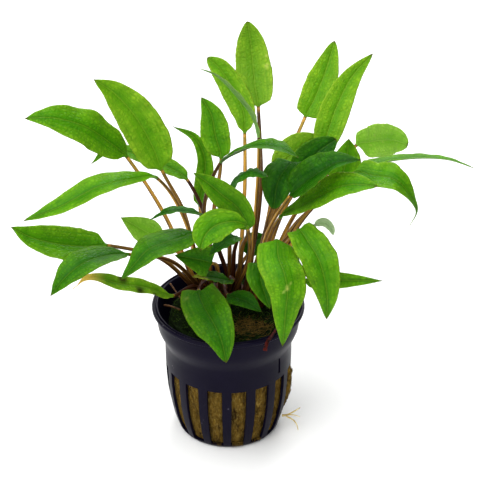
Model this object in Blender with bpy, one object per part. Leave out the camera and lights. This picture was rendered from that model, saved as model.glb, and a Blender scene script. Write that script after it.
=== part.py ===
"""Potted cryptocoryne: an aquarium plant rooted in rock wool in a small net pot.

Metres, +Z up. The origin is the middle of the pot's underside, and the pot's
axis is Z. The plant's front, the side with the heart shaped leaf, is at -Y.
"""
import math

import bmesh
import bpy
from mathutils import Vector

MM = 0.001

# The pot, in millimetres
POT_HEIGHT = 52.0
LIP_RADIUS = 28.0
LIP_INNER_RADIUS = 25.8
COLLAR_RADIUS = 26.2
BODY_RADIUS = 23.4
BASE_RADIUS = 17.8
SHOULDER_Z = 37.0
WALL = 1.0
FLOOR = 1.2
SLOT_COUNT = 16
SLOT_ANGLE = 14.0
FIRST_SLOT_ANGLE = 10.0
SLOT_TOP = 28.0
SLIT_ANGLES = (53.0, 173.0, -73.0)
SLIT_WIDTH = 1.0
SLIT_DEPTH = 4.0
SLIT_BOTTOM = 30.5
SLIT_TOP = 37.0

# What fills the pot. GAP keeps neighbouring pieces apart.
GAP = 0.4
WOOL_TOP = 46.5
WOOL_CHAMFER = 2.0
WOOL_RADIUS = BODY_RADIUS - WALL - GAP
WOOL_BULGE = (0.0, 0.6, 0.6, 0.6)
LOOSE_WOOL_ANGLE = 77.5
LOOSE_WOOL_BULGE = (0.0, 1.4, 2.0, 2.6)
WOOL_BULGE_Z = 25.0
WOOL_BULGE_RADIUS = 23.1 - WALL - GAP
MOSS_RADIUS = 21.4
MOSS_TOP = 50.2
MOSS_LUMP = 0.6
MOSS_SINK = 0.4
CROWN_TOP = 54.2
CROWN_RADIUS = 4.8
CROWNS = {"left": (-9.5, 8), "middle": (0.5, 7.5), "right": (9.5, 1)}

# Leaves, in millimetres
STALK_FOOT_DIAMETER = 1.6
STALK_NECK_DIAMETER = 1.25
LAMINA = 0.44
RIB_RISE = 0.1
KEEL = 0.75
TIP_THINNING = 0.6
TIP_HALF_WIDTH = 0.12
WAVES = 9.0
WAVE_SKEW = 2.0
FOOT_Z = CROWN_TOP + 0.95
STALK_STEPS = (0.0, 0.35, 0.7, 1.0)
BLADE_STEPS = (0.05, 0.18, 0.36, 0.56, 0.76, 0.92, 1.0)
WIDEST = 0.38
LOBE_REACH = 0.38
BASE_ROUNDNESS = {"wedge": 0.95, "round": 0.6, "heart": 0.42}
TIP_BLUNTNESS = 0.9
FRONT = (0.0, -0.86, 0.51)
LEAF_SMOOTH_ANGLE = 60.0


def clear_scene():
    for old in list(bpy.data.objects):
        bpy.data.objects.remove(old, do_unlink=True)


def material(name, colour, roughness, metallic=0.0):
    made = bpy.data.materials.new(name)
    made.use_nodes = True
    shader = made.node_tree.nodes["Principled BSDF"]
    shader.inputs["Base Color"].default_value = (*colour, 1.0)
    shader.inputs["Roughness"].default_value = roughness
    shader.inputs["Metallic"].default_value = metallic
    return made


def add_object(name, bm, materials, smooth_angle=40.0):
    """Turns a bmesh in millimetres into a named object in metres."""
    bmesh.ops.scale(bm, vec=(MM, MM, MM), verts=bm.verts)
    bmesh.ops.recalc_face_normals(bm, faces=bm.faces)
    mesh = bpy.data.meshes.new(name)
    bm.to_mesh(mesh)
    bm.free()
    mesh.shade_smooth()
    mesh.set_sharp_from_angle(angle=math.radians(smooth_angle))
    made = bpy.data.objects.new(name, mesh)
    bpy.context.collection.objects.link(made)
    for each in materials:
        made.data.materials.append(each)
    return made


def polar(radius, degrees, z):
    """A point at an angle from the front, positive towards +X."""
    angle = math.radians(degrees)
    return Vector((radius * math.sin(angle), -radius * math.cos(angle), z))


def bridge(bm, lower, upper):
    """Joins two closed rings of vertices with four sided faces."""
    count = len(lower)
    for i in range(count):
        j = (i + 1) % count
        bm.faces.new((lower[i], lower[j], upper[j], upper[i]))


# The pot

POT_OUTER = (
    (BASE_RADIUS, 0.0),
    (BASE_RADIUS + 0.9, 0.7),
    (BASE_RADIUS + 1.2, FLOOR),
    (21.0, 7.5),
    (22.6, 16.5),
    (23.3, SLOT_TOP),
    (BODY_RADIUS, SHOULDER_Z),
    (24.4, 39.5),
    (25.8, 43.0),
    (COLLAR_RADIUS, 46.0),
    (COLLAR_RADIUS, 49.8),
    (LIP_RADIUS, 50.3),
    (LIP_RADIUS, 51.6),
    (LIP_RADIUS - 0.4, POT_HEIGHT),
)
SLOT_ROWS = (2, 3, 4, 5)
POT_INNER = (
    (LIP_INNER_RADIUS, POT_HEIGHT),
    (COLLAR_RADIUS - WALL, 48.5),
    (25.7 - WALL, 44.0),
    (24.2 - WALL, 40.0),
    (BODY_RADIUS - WALL, SHOULDER_Z),
)


def slot_angles():
    """The angles of every ring of the pot, and which of them are slot middles."""
    pitch = 360.0 / SLOT_COUNT
    angles = []
    for i in range(SLOT_COUNT):
        middle = FIRST_SLOT_ANGLE + i * pitch
        angles.append((middle - SLOT_ANGLE / 2, False))
        angles.append((middle, True))
        angles.append((middle + SLOT_ANGLE / 2, False))
    return angles


def pot_ring(bm, radius, z, skip_middles):
    ring = []
    for angle, is_middle in slot_angles():
        if is_middle and skip_middles:
            ring.append(None)
        else:
            ring.append(bm.verts.new(polar(radius, angle, z)))
    return ring


def bridge_pot(bm, lower, upper, open_slots):
    """Faces between two rings, over the ribs only where the slots are open."""
    count = len(lower)
    for i in range(count):
        j = (i + 1) % count
        in_slot = i % 3 != 2
        if in_slot and open_slots:
            continue
        bm.faces.new((lower[i], lower[j], upper[j], upper[i]))


def build_pot(plastic):
    bm = bmesh.new()
    first, *_, last = SLOT_ROWS
    outer = [pot_ring(bm, r, z, first < row < last) for row, (r, z) in enumerate(POT_OUTER)]
    inner_slots = [
        pot_ring(bm, POT_OUTER[row][0] - WALL, POT_OUTER[row][1], first < row < last)
        for row in SLOT_ROWS
    ]
    for row in range(len(outer) - 1):
        bridge_pot(bm, outer[row], outer[row + 1], first <= row < last)
    inner = [pot_ring(bm, r, z, False) for r, z in POT_INNER] + inner_slots[::-1]
    bridge_pot(bm, outer[-1], inner[0], False)
    for row in range(len(inner) - 1):
        bridge_pot(bm, inner[row], inner[row + 1], row >= len(POT_INNER))
    bm.faces.new(outer[0])
    bm.faces.new(inner[-1])
    close_slots(bm, [outer[row] for row in SLOT_ROWS], inner_slots)
    pot = add_object("pot", bm, [plastic], 30.0)
    cut_slits(pot)
    return pot


def close_slots(bm, outer, inner):
    """The sides, sill and lintel of every slot, through the wall."""
    for i in range(0, 3 * SLOT_COUNT, 3):
        for side in (i, i + 2):
            for row in range(len(outer) - 1):
                bm.faces.new((outer[row][side], outer[row + 1][side],
                              inner[row + 1][side], inner[row][side]))
        for row in (0, -1):
            for a in (i, i + 1):
                bm.faces.new((outer[row][a], outer[row][a + 1],
                              inner[row][a + 1], inner[row][a]))


def cut_slits(pot):
    bm = bmesh.new()
    for angle in SLIT_ANGLES:
        made = bmesh.ops.create_cube(bm, size=1.0)["verts"]
        bmesh.ops.scale(bm, vec=(SLIT_WIDTH, SLIT_DEPTH, SLIT_TOP - SLIT_BOTTOM), verts=made)
        place = polar(BODY_RADIUS, angle, (SLIT_TOP + SLIT_BOTTOM) / 2)
        for vert in made:
            turned = polar(-vert.co.y, angle, vert.co.z) + polar(vert.co.x, angle + 90, 0)
            vert.co = turned + place
    cutter = add_object("slit_cutter", bm, [])
    cutter.hide_render = True
    cutter.display_type = "WIRE"
    cut = pot.modifiers.new("slits", "BOOLEAN")
    cut.operation = "DIFFERENCE"
    cut.object = cutter


# The wool and the moss

def build_wool(wool):
    """A plug that fills the pot and stands a little into every slot."""
    rows = []
    for row in SLOT_ROWS:
        rows.append((POT_OUTER[row][0] - WALL - GAP, POT_OUTER[row][1]))
    rows[0] = (rows[0][0], FLOOR + GAP)
    rows.insert(3, (WOOL_BULGE_RADIUS, WOOL_BULGE_Z))
    rows.append((WOOL_RADIUS, SHOULDER_Z))
    rows.append((WOOL_RADIUS, WOOL_TOP - WOOL_CHAMFER))
    rows.append((WOOL_RADIUS + GAP - WOOL_CHAMFER, WOOL_TOP))
    bm = bmesh.new()
    rings = []
    for row, (radius, z) in enumerate(rows):
        ring = []
        for angle, is_middle in slot_angles():
            bulge = 0.0
            if is_middle and row < len(WOOL_BULGE):
                loose = abs(angle - LOOSE_WOOL_ANGLE) < 1
                bulge = (LOOSE_WOOL_BULGE if loose else WOOL_BULGE)[row]
            ring.append(bm.verts.new(polar(radius + bulge, angle, z)))
        rings.append(ring)
    for lower, upper in zip(rings, rings[1:]):
        bridge(bm, lower, upper)
    bm.faces.new(rings[0])
    bm.faces.new(rings[-1])
    return add_object("rock_wool", bm, [wool])


def lumps(x, y):
    """Soft mounds between -1 and 1."""
    return math.sin(0.42 * x + 1.3) * math.cos(0.37 * y - 0.4)


def build_moss(moss):
    bm = bmesh.new()
    count = 24
    rings = []
    bottom = WOOL_TOP + GAP
    sizes = ((0.97, bottom), (1.0, 48.0), (0.9, 49.2), (0.6, MOSS_TOP), (0.25, MOSS_TOP))
    for size, z in sizes:
        ring = []
        for i in range(count):
            reach = size * MOSS_RADIUS * (1 + 0.015 * math.sin(5 * i))
            place = polar(reach, 360.0 * i / count, z)
            if z > bottom:
                place.z += MOSS_LUMP * lumps(place.x, place.y) - MOSS_SINK
            ring.append(bm.verts.new(place))
        rings.append(ring)
    for lower, upper in zip(rings, rings[1:]):
        bridge(bm, lower, upper)
    bm.faces.new(rings[0])
    bm.faces.new(rings[-1])
    return add_object("moss_mat", bm, [moss])


def build_crown(side, rootstock):
    """A short rootstock, a flattened lump with a flat top."""
    x, y = CROWNS[side]
    bm = bmesh.new()
    rings = []
    for radius, z in ((0.6, 51.0), (0.95, 51.9), (1.0, 53.0), (0.9, CROWN_TOP)):
        ring = []
        for i in range(10):
            reach = CROWN_RADIUS * radius * (1 + 0.05 * math.sin(3 * i))
            place = polar(reach, 36.0 * i, z)
            ring.append(bm.verts.new(place + Vector((x, y, 0))))
        rings.append(ring)
    for lower, upper in zip(rings, rings[1:]):
        bridge(bm, lower, upper)
    bm.faces.new(rings[0])
    bm.faces.new(rings[-1])
    return add_object("crown_" + side, bm, [rootstock])


# Smooth paths

def handles(points):
    """The direction of a smooth path at each of its points."""
    found = []
    for i, here in enumerate(points):
        before = points[max(i - 1, 0)]
        after = points[min(i + 1, len(points) - 1)]
        found.append((after - before).normalized())
    return found


def path_point(points, directions, span, t):
    """The place and direction on a span of the path, a cubic between two points."""
    a, d = points[span], points[span + 1]
    third = (d - a).length / 3
    b = a + directions[span] * third
    c = d - directions[span + 1] * third
    s = 1 - t
    place = a * s ** 3 + b * 3 * s * s * t + c * 3 * s * t * t + d * t ** 3
    heading = (b - a) * s * s + (c - b) * 2 * s * t + (d - c) * t * t
    return place, heading.normalized()


# Leaves

# A stalk's eight corners, and the blade's: how far across each is, and on which side
ROUND = [(-1.0, 0.0), (-0.7, 0.7), (0.0, 1.0), (0.7, 0.7),
         (1.0, 0.0), (0.7, -0.7), (0.0, -1.0), (-0.7, -0.7)]
ACROSS = (-1.0, -0.5, 0.0, 0.5, 1.0, 0.5, 0.0, -0.5)
SIDE = (0, 1, 1, 1, 0, -1, -1, -1)


def half_width(t, leaf):
    """Half the blade's width at t, from 0 at the neck to 1 at the tip."""
    power = math.log(0.5) / math.log(leaf["widest"])
    bulge = max(math.sin(math.pi * t ** power), 0.0)
    roundness = BASE_ROUNDNESS[leaf["base"]] if t < leaf["widest"] else leaf["blunt"]
    return max(0.5 * leaf["width"] * bulge ** roundness, TIP_HALF_WIDTH)


def square_to(heading, face):
    """The direction nearest to face that is square to heading."""
    return (face - heading * face.dot(heading)).normalized()


def blade_ring(t, centre, heading, face, leaf):
    """Eight points across the blade: a thin lens with a rib below it."""
    up = square_to(heading, face)
    right = heading.cross(up)
    half = half_width(t, leaf)
    left_fold, right_fold = leaf["fold"]
    fade = max(1 - t / LOBE_REACH, 0.0)
    thin = 1 - TIP_THINNING * t
    points = []
    for across, side in zip(ACROSS, SIDE):
        x = across * half
        fold = right_fold if across > 0 else left_fold
        height = fold * abs(x)
        wave = math.sin(WAVES * t + WAVE_SKEW * across)
        height += leaf["wave"] * abs(across) * half * wave
        if across == 0.0:
            height += RIB_RISE if side > 0 else -KEEL * thin
        else:
            height += side * 0.5 * LAMINA * thin
        sweep = leaf["lobe"] * leaf["width"] * across * across * fade * fade
        points.append(centre + right * x + up * height - heading * sweep)
    return points


def stalk_rings(points, directions, face):
    """The stalk's rings, foot first. They are made from the neck down, without a twist."""
    rings = []
    up = face
    for step in reversed(STALK_STEPS):
        span = 0 if step < 0.5 else 1
        centre, heading = path_point(points, directions, span, 2 * step - span)
        up = square_to(heading, up)
        right = heading.cross(up)
        radius = 0.5 * (STALK_FOOT_DIAMETER * (1 - step) + STALK_NECK_DIAMETER * step)
        rings.append([centre + (right * x + up * y) * radius for x, y in ROUND])
    return rings[::-1]


def bridge_blade(bm, lower, upper):
    """Joins two rings with triangles, split alike above and below so that they never cross."""
    count = len(lower)
    for i in range(count):
        j = (i + 1) % count
        a, b = (i, j) if i < count // 2 else (j, i)
        bm.faces.new((lower[i], lower[j], upper[b]))
        bm.faces.new((lower[a], upper[j], upper[i]))


def build_leaf(name, leaf, looks):
    """One leaf, grown as one piece: a round stalk that widens into the blade."""
    foot = Vector((*leaf["foot"], FOOT_Z))
    neck = Vector(leaf["neck"])
    rise = neck - foot
    bow = leaf["bow"]
    half_way = foot + Vector((rise.x * (0.5 - bow), rise.y * (0.5 - bow), rise.z * (0.5 + bow)))
    if leaf["knee"]:
        half_way = Vector(leaf["knee"])
    points = [foot, half_way, neck, *map(Vector, leaf["mids"]), Vector(leaf["tip"])]
    directions = handles(points)
    face_start = Vector(leaf["face"]).normalized()
    face_end = Vector(leaf["tip_face"] or leaf["face"]).normalized()
    rings = stalk_rings(points, directions, face_start)
    spans = len(leaf["mids"]) + 1
    for t in BLADE_STEPS:
        span = min(int(t * spans), spans - 1)
        centre, heading = path_point(points, directions, 2 + span, t * spans - span)
        face = face_start.lerp(face_end, t)
        rings.append(blade_ring(t, centre, heading, face, leaf))
    bm = bmesh.new()
    loops = [[bm.verts.new(point) for point in ring] for ring in rings]
    neck_row = len(STALK_STEPS) - 1
    for row, (lower, upper) in enumerate(zip(loops, loops[1:])):
        if row < neck_row:
            bridge(bm, lower, upper)
        else:
            bridge_blade(bm, lower, upper)
    bm.faces.new(loops[0])
    bm.faces.new(loops[-1])
    made = add_object(name, bm, looks, LEAF_SMOOTH_ANGLE)
    last_stalk_face = len(ROUND) * neck_row
    for polygon in made.data.polygons:
        polygon.material_index = 0 if polygon.index < last_stalk_face else 1
    return made


def leaf(foot, neck, mid, tip, width, face=FRONT, tip_face=None, fold=(0.15, 0.15),
         base="round", lobe=0.0, wave=0.0, bow=0.1, knee=None, tone="green", widest=WIDEST,
         blunt=TIP_BLUNTNESS):
    """One leaf's places in millimetres.

    foot, knee and neck place the stalk, neck, mid and tip the blade's midrib. mid is one
    place or a list of them. face is the way its upper side looks, fold how steeply its
    halves rise from the rib, and widest how far along its greatest width is. The end is
    blunter with a smaller blunt.
    """
    mids = mid if isinstance(mid, list) else [mid]
    return dict(foot=foot, neck=neck, mids=mids, tip=tip, width=width, face=face,
                tip_face=tip_face, fold=fold, base=base, lobe=lobe, wave=wave, bow=bow,
                knee=knee, tone=tone, widest=widest, blunt=blunt)


LEAVES = {
    # Left crown
    "leaf_01": leaf((-12.8, 9.9), (-36, 8, 108.5), [(-42, 7, 115), (-50, 4.5, 122.5), (-61, 1, 127.7)],
                    (-70, -2, 129), 14, (0, -0.5, 0.87), wave=0.08, fold=(-0.15, 0.1),
                    knee=(-23, 9, 84), widest=0.45),
    "leaf_02": leaf((-10.6, 9.9), (-23.5, 4, 105.5), [(-26.5, 6, 113.5), (-32.5, 8, 124.5), (-39.5, 9, 133)],
                    (-46.5, 8, 139), 15, (0.1, -0.8, 0.6), blunt=0.85),
    "leaf_03": leaf((-9.5, 8), (-25, -2, 105.5), [(-33, -7, 108), (-44.5, -14, 108.8), (-57.5, -19.5, 104)],
                    (-70.5, -22, 99.5), 11.5, (0, 0.1, 1), tip_face=(0, -0.3, 0.95), widest=0.5),
    "leaf_04": leaf((-12.8, 6.1), (-43, -9, 82),
                    [(-51, -12.5, 83.7), (-60.5, -16.5, 87.3), (-69, -19, 91.5)],
                    (-75, -20, 96), 14.5, (0, -0.5, 0.87)),
    "leaf_05": leaf((-10.6, 6.1), (-35, -16, 82.5), [(-41.5, -23, 86.5), (-49, -32, 89), (-55, -37, 86.5)],
                    (-60.5, -40, 80.5), 12, (0, -0.25, 0.97), widest=0.5),
    "leaf_06": leaf((-9.5, 4.2), (-20, -7, 59.5),
                    [(-28.5, -13.5, 67), (-38, -19.5, 72.5), (-48.5, -25, 78.5)],
                    (-54, -27, 75), 6.3, (0, -0.5, 0.86), knee=(-13.5, 0, 59), widest=0.45,
                    tone="ageing"),
    "leaf_07": leaf((-11.7, 8), (-24.5, 2, 77.5), (-30.5, 0, 83), (-38, -4, 90.5), 10,
                    (0, -0.8, 0.6), tone="pale"),
    "leaf_08": leaf((-8.4, 6.1), (-11.5, -16, 91),
                    [(-17.5, -21, 92), (-23, -27, 93.5), (-27.5, -32, 93.8), (-31.5, -35, 90.5)],
                    (-36.5, -38, 85.5), 13, (0, -0.6, 0.8), fold=(0.4, -0.5), tone="dark"),
    "leaf_09": leaf((-6.2, 6.1), (-9, -10, 95), [(-14.5, -13, 98.2), (-20, -16, 100)],
                    (-27, -18, 97.8), 8, (0, 0.15, 0.99), tone="dark"),
    "leaf_11": leaf((-7.3, 11.8), (-10.5, 22, 80), [(-9.5, 26, 86.5), (-8.6, 30, 95), (-12.3, 33.5, 102.5)],
                    (-20.5, 36, 106), 6.5, widest=0.3),
    "leaf_12": leaf((-7.3, 4.2), (-10.5, -10, 63.5), [(-8.5, -18, 62), (-5.5, -25, 60.5), (-2.5, -29.5, 56)],
                    (-0.5, -33, 48), 16, (0, -0.8, 0.6), base="heart", lobe=0.16,
                    knee=(-8.5, -2.5, 63), blunt=0.75),
    "leaf_13": leaf((-8.4, 9.9), (-2.5, 14, 104.5), [(-4.5, 17.5, 112), (-6, 21, 118.5)],
                    (-9.5, 24, 124), 10.5, knee=(-5, 12, 86), blunt=0.8),
    "leaf_17": leaf((-7.3, 8), (-2.5, 2, 109.5), [(4.5, -1, 116), (10.5, -4.5, 119.7), (18, -9, 121.2)],
                    (24.5, -12, 119), 11, (0, 0.1, 1), knee=(-8.5, 4, 90.5), widest=0.5),
    # Middle crown
    "leaf_10": leaf((0.5, 11.3), (-15, 20, 92.5), [(-20.5, 23.5, 95), (-32.5, 28.5, 98), (-44, 30, 99)],
                    (-50.5, 29, 94), 7, (0, -0.4, 0.9), knee=(-9, 15, 82)),
    "leaf_14": leaf((3.8, 9.4), (6, 22, 110.5), [(5.7, 27, 116), (2.2, 32, 122.5), (-3, 36, 129.5)],
                    (-7.5, 38, 133), 9.5, knee=(6, 15, 91), widest=0.45, blunt=0.55),
    "leaf_18": leaf((0.5, 7.5), (0.5, -8, 105), [(3.3, -9, 109.7), (8.5, -11, 113.3)],
                    (14, -12.5, 112), 9.5, (0, -0.1, 0.99), fold=(-0.3, -0.2), base="heart",
                    widest=0.27, blunt=0.6, tone="dark"),
    "leaf_19": leaf((3.8, 5.6), (7, -13, 90.5), [(4, -15, 100), (-2, -17.5, 107.5), (-7, -19.5, 113.5)],
                    (-11.5, -21, 118), 9.5, (0, -0.8, 0.6)),
    "leaf_20": leaf((2.7, 3.7), (7, -20.5, 96),
                    [(5.5, -22, 98.6), (1.4, -23.3, 100.2), (-4.3, -25, 99.4), (-7.8, -27.5, 96.8)],
                    (-9.2, -30.5, 92.9), 11.5, (0, -0.75, 0.66), knee=(7.5, -10, 78), base="wedge",
                    widest=0.65),
    "leaf_21": leaf((-2.8, 5.6), (-6, -16, 79), (-10, -18, 81.5), (-18.5, -20, 84.5), 11,
                    base="heart", widest=0.3),
    "leaf_22": leaf((1.6, 5.6), (3, -10, 86), (-1.3, -14, 86.4), (-6.4, -18, 83.4), 8,
                    (0, -0.1, 0.99), tone="dark"),
    "leaf_23": leaf((0.5, 3.7), (1.5, -12, 69), (-5.5, -17, 73.5), (-12.3, -22, 77), 7,
                    (0, -0.2, 0.97), base="wedge", knee=(1, -5, 66), tone="ageing"),
    "leaf_24": leaf((-1.7, 3.7), (0, -8, 60.5), (6.5, -15, 62.5), (12, -20, 61), 7,
                    (0, -0.5, 0.86), knee=(-1.5, -3, 61), tone="dark"),
    "leaf_25": leaf((2.7, 11.3), (7, 14, 64), (9.5, 15, 69), (14.5, 16, 71), 8, tone="dark"),
    # Right crown
    "leaf_15": leaf((7.3, 1), (11, 14, 113), [(9, 17.5, 119.5), (3, 20, 127), (-4, 21, 134)],
                    (-10, 20, 137.5), 8, (0.3, 0.51, 0.86), knee=(10, 5.5, 88)),
    "leaf_16": leaf((6.2, 2.9), (11, 36, 114), [(10, 42, 118.5), (9, 48.5, 126), (8, 52.5, 134)],
                    (7, 54, 140), 13.5, base="heart", lobe=0.03, knee=(11.7, 13, 90), blunt=0.62,
                    tone="pale"),
    "leaf_26": leaf((9.5, 4.8), (28, 30, 113), [(31.3, 35, 117.5), (34.4, 41, 122.5), (36.8, 46, 127.5)],
                    (39, 50, 134), 11.5, base="heart", lobe=0.1, blunt=0.65),
    "leaf_27": leaf((10.6, 2.9), (33.5, 15, 106.5), [(36, 19, 113.5), (39.5, 25, 121), (44.5, 31, 128.5)],
                    (52, 34, 136.5), 11, blunt=0.75),
    "leaf_28": leaf((11.7, 4.8), (46.5, 24, 104.5), [(51.5, 28, 103.7), (56.5, 33.5, 101.5), (62, 39, 98.5)],
                    (67, 42, 95), 12.5, base="heart", widest=0.42, blunt=0.5, tone="pale"),
    "leaf_29": leaf((11.7, 1), (47.5, 3, 107),
                    [(54.5, 5.6, 107.9), (62.5, 7.5, 108.1), (70.5, 7, 108.7), (78.5, 5, 108.9)],
                    (87, 2.5, 107), 10, (0, 0.32, 0.95)),
    "leaf_30": leaf((13.9, 1), (44.5, -3, 108),
                    [(51, -6, 108.6), (57, -9.5, 109.5), (62, -11, 106), (66, -11.5, 97.5)],
                    (64, -11, 91), 12.5, (0.2, -0.5, 0.85), tip_face=(0.85, -0.3, 0.1), widest=0.32,
                    knee=(26, -1.2, 87), blunt=1.3),
    "leaf_31": leaf((10.6, -0.9), (18.5, -4, 90.5),
                    [(25.5, -8, 97.5), (32, -11.5, 103.5), (38, -14, 108.5), (44.5, -16, 110.7)],
                    (51.5, -18, 111), 12, (0, -0.4, 0.9), widest=0.55, blunt=0.8),
    "leaf_32": leaf((8.4, -0.9), (22, -10, 103), [(27.5, -10, 108.5), (33, -10, 113), (38.5, -10.5, 116.3)],
                    (46, -11, 117.5), 14, (0, -0.3, 0.95), fold=(0.35, 0.45), widest=0.35, tone="dark"),
    "leaf_33": leaf((8.4, 2.9), (24.5, 5, 102), [(28.5, 6.5, 107), (32.5, 8, 111)],
                    (38.5, 10, 114.5), 12, blunt=0.55, tone="dark"),
    "leaf_34": leaf((12.8, 2.9), (38.5, 4.3, 98.5), (42, 9, 105.5), (43, 12, 113.5), 12,
                    fold=(0.3, -0.4), knee=(23, 4.3, 81), blunt=0.8),
    "leaf_35": leaf((7.3, 4.8), (18, 14, 99.5), [(22.5, 17, 104), (27.5, 20, 107.5)],
                    (34, 23, 109), 12, knee=(13.5, 8, 78), tone="pale"),
    "leaf_36": leaf((6.2, -0.9), (11.7, -15, 78.3), [(11.5, -21.5, 76), (13, -25, 71.7)],
                    (14.8, -26.5, 66.4), 10, (0, -0.2, 0.98), tip_face=FRONT, base="heart",
                    widest=0.25),
    "leaf_37": leaf((9.5, -2.8), (17, -19, 90),
                    [(17.5, -29, 89.3), (19.5, -36, 86.8), (20.5, -39.5, 82), (20, -41, 75.5),
                     (19.5, -42, 68)],
                    (19, -42, 61), 15.5, (0, -0.2, 0.98), tip_face=FRONT, fold=(-0.45, -0.1),
                    base="heart", lobe=0.1, widest=0.27, blunt=0.85),
    "leaf_38": leaf((11.7, -2.8), (24.5, -16, 92.3),
                    [(28.2, -22, 90.8), (31.6, -27.2, 87), (33.5, -30.2, 81.5), (34.6, -32, 74.5)],
                    (34.5, -32, 65.7), 13, (0, -0.2, 0.98), tip_face=FRONT, fold=(0.1, 0.1),
                    base="heart", lobe=0.25, blunt=0.8),
    "leaf_39": leaf((13.7, -3), (27.5, -8, 66), (38, -14, 70.5), (54.5, -20, 74), 6.5),
    "leaf_40": leaf((12.8, -0.9), (31, -4, 87.3), [(34, -4, 88.6), (36.5, -5, 87)],
                    (37.5, -6, 84.5), 3.2, blunt=0.5, tone="pale"),
    "leaf_41": leaf((9.5, 1), (23, 2, 109), (18, -4, 106), (16, -9, 96.7), 12.5,
                    (0, 0.3, 0.95), tip_face=FRONT, blunt=0.6, tone="dark"),
}


# Roots and dead bits: the places along each in millimetres, then its two diameters

ROOTS = {
    "root_upper": (((20.1, -6.9, 6.2), (22, -7, 6.6), (26.7, -8, 10.6)), 0.9, 0.4),
    "root_middle": (((23.2, -7.6, 6.6), (26.7, -9, 7.4)), 0.5, 0.3),
    "root_lower": (((22.4, -8.3, 5.6), (24.4, -9, 5.0), (26.1, -10, 1.8)), 0.7, 0.3),
}
# The last number is how thick a bit is for its width
DEAD_BITS = {
    "dead_leaf_rim": (((17.2, -19.0, 53.4), (15.5, -23.5, 53.3), (13.8, -26.6, 53.0),
                       (13.6, -28.7, 50.5)), 1.4, 0.9, 0.4),
    "dead_stalk_left": (((-22.5, -1.5, 52), (-19.5, -3, 51.6)), 0.8, 0.6, 1.0),
    "dead_stalk_back": (((-20, 9.5, 52), (-17.5, 4, 51.5)), 0.8, 0.6, 1.0),
}


def build_strand(name, places, thick, thin, looks, flat=1.0, sides=6):
    """A tapering strand along a smooth path, round or flattened."""
    points = [Vector(place) for place in places]
    directions = handles(points)
    spans = len(points) - 1
    bm = bmesh.new()
    loops = []
    for span in range(spans):
        steps = (0.0, 0.5) if span < spans - 1 else (0.0, 0.5, 1.0)
        for t in steps:
            centre, heading = path_point(points, directions, span, t)
            up = square_to(heading, Vector(FRONT))
            right = heading.cross(up)
            done = (span + t) / spans
            radius = 0.5 * (thick * (1 - done) + thin * done)
            ring = []
            for i in range(sides):
                angle = 2 * math.pi * i / sides
                offset = right * math.cos(angle) * radius + up * math.sin(angle) * radius * flat
                ring.append(bm.verts.new(centre + offset))
            loops.append(ring)
    for lower, upper in zip(loops, loops[1:]):
        bridge(bm, lower, upper)
    bm.faces.new(loops[0])
    bm.faces.new(loops[-1])
    return add_object(name, bm, [looks])


def build_all():
    clear_scene()
    plastic = material("black plastic", (0.012, 0.011, 0.018), 0.38)
    wool = material("rock wool", (0.235, 0.16, 0.035), 0.95)
    moss = material("moss", (0.02, 0.045, 0.008), 0.95)
    rootstock = material("rootstock", (0.09, 0.035, 0.012), 0.7)
    root = material("root", (0.62, 0.5, 0.24), 0.6)
    dead = material("dead leaf", (0.13, 0.03, 0.015), 0.7)
    stalk = material("leaf stalk", (0.22, 0.095, 0.018), 0.45)
    blades = {
        "green": material("green blade", (0.09, 0.3, 0.012), 0.4),
        "pale": material("pale blade", (0.24, 0.5, 0.04), 0.42),
        "dark": material("dark blade", (0.03, 0.16, 0.008), 0.4),
        "ageing": material("ageing blade", (0.2, 0.36, 0.02), 0.45),
    }
    build_pot(plastic)
    build_wool(wool)
    build_moss(moss)
    for side in CROWNS:
        build_crown(side, rootstock)
    for name, spec in LEAVES.items():
        build_leaf(name, spec, [stalk, blades[spec["tone"]]])
    for name, (places, thick, thin) in ROOTS.items():
        build_strand(name, places, thick, thin, root)
    for name, (places, thick, thin, flat) in DEAD_BITS.items():
        build_strand(name, places, thick, thin, dead, flat)


build_all()
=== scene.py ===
# %% [markdown]
# # A cryptocoryne in its net pot
# The plant is forty-one leaves on thin stalks, growing from three short rootstocks. They
# stand in a slotted plastic pot packed with rock wool, with moss on top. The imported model
# gives every piece its place, and the cells below make the surface that the eye sees.

# %% Load the frame
import math
import random

import bmesh
import bpy
import numpy as np
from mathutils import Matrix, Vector, noise


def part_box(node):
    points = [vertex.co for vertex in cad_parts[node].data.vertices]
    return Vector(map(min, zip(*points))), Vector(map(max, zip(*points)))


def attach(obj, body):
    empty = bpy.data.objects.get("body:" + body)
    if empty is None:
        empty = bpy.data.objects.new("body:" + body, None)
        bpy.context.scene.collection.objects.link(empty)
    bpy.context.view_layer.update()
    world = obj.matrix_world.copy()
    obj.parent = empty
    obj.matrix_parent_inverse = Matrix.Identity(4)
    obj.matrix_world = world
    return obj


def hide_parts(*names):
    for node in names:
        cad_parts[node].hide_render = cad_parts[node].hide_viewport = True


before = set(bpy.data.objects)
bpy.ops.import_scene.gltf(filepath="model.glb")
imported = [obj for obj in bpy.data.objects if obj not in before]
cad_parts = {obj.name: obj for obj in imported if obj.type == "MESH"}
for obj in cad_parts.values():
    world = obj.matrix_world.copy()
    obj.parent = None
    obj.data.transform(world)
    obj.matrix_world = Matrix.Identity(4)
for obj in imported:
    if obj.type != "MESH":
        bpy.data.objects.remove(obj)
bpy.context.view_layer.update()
MM = 0.001

# %% [markdown]
# ## The camera
# A camera far away with a long lens keeps shapes true, as a product photograph does. It
# looks down at the plant by the angle at which the pot's round rim turns into its ellipse.

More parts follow.
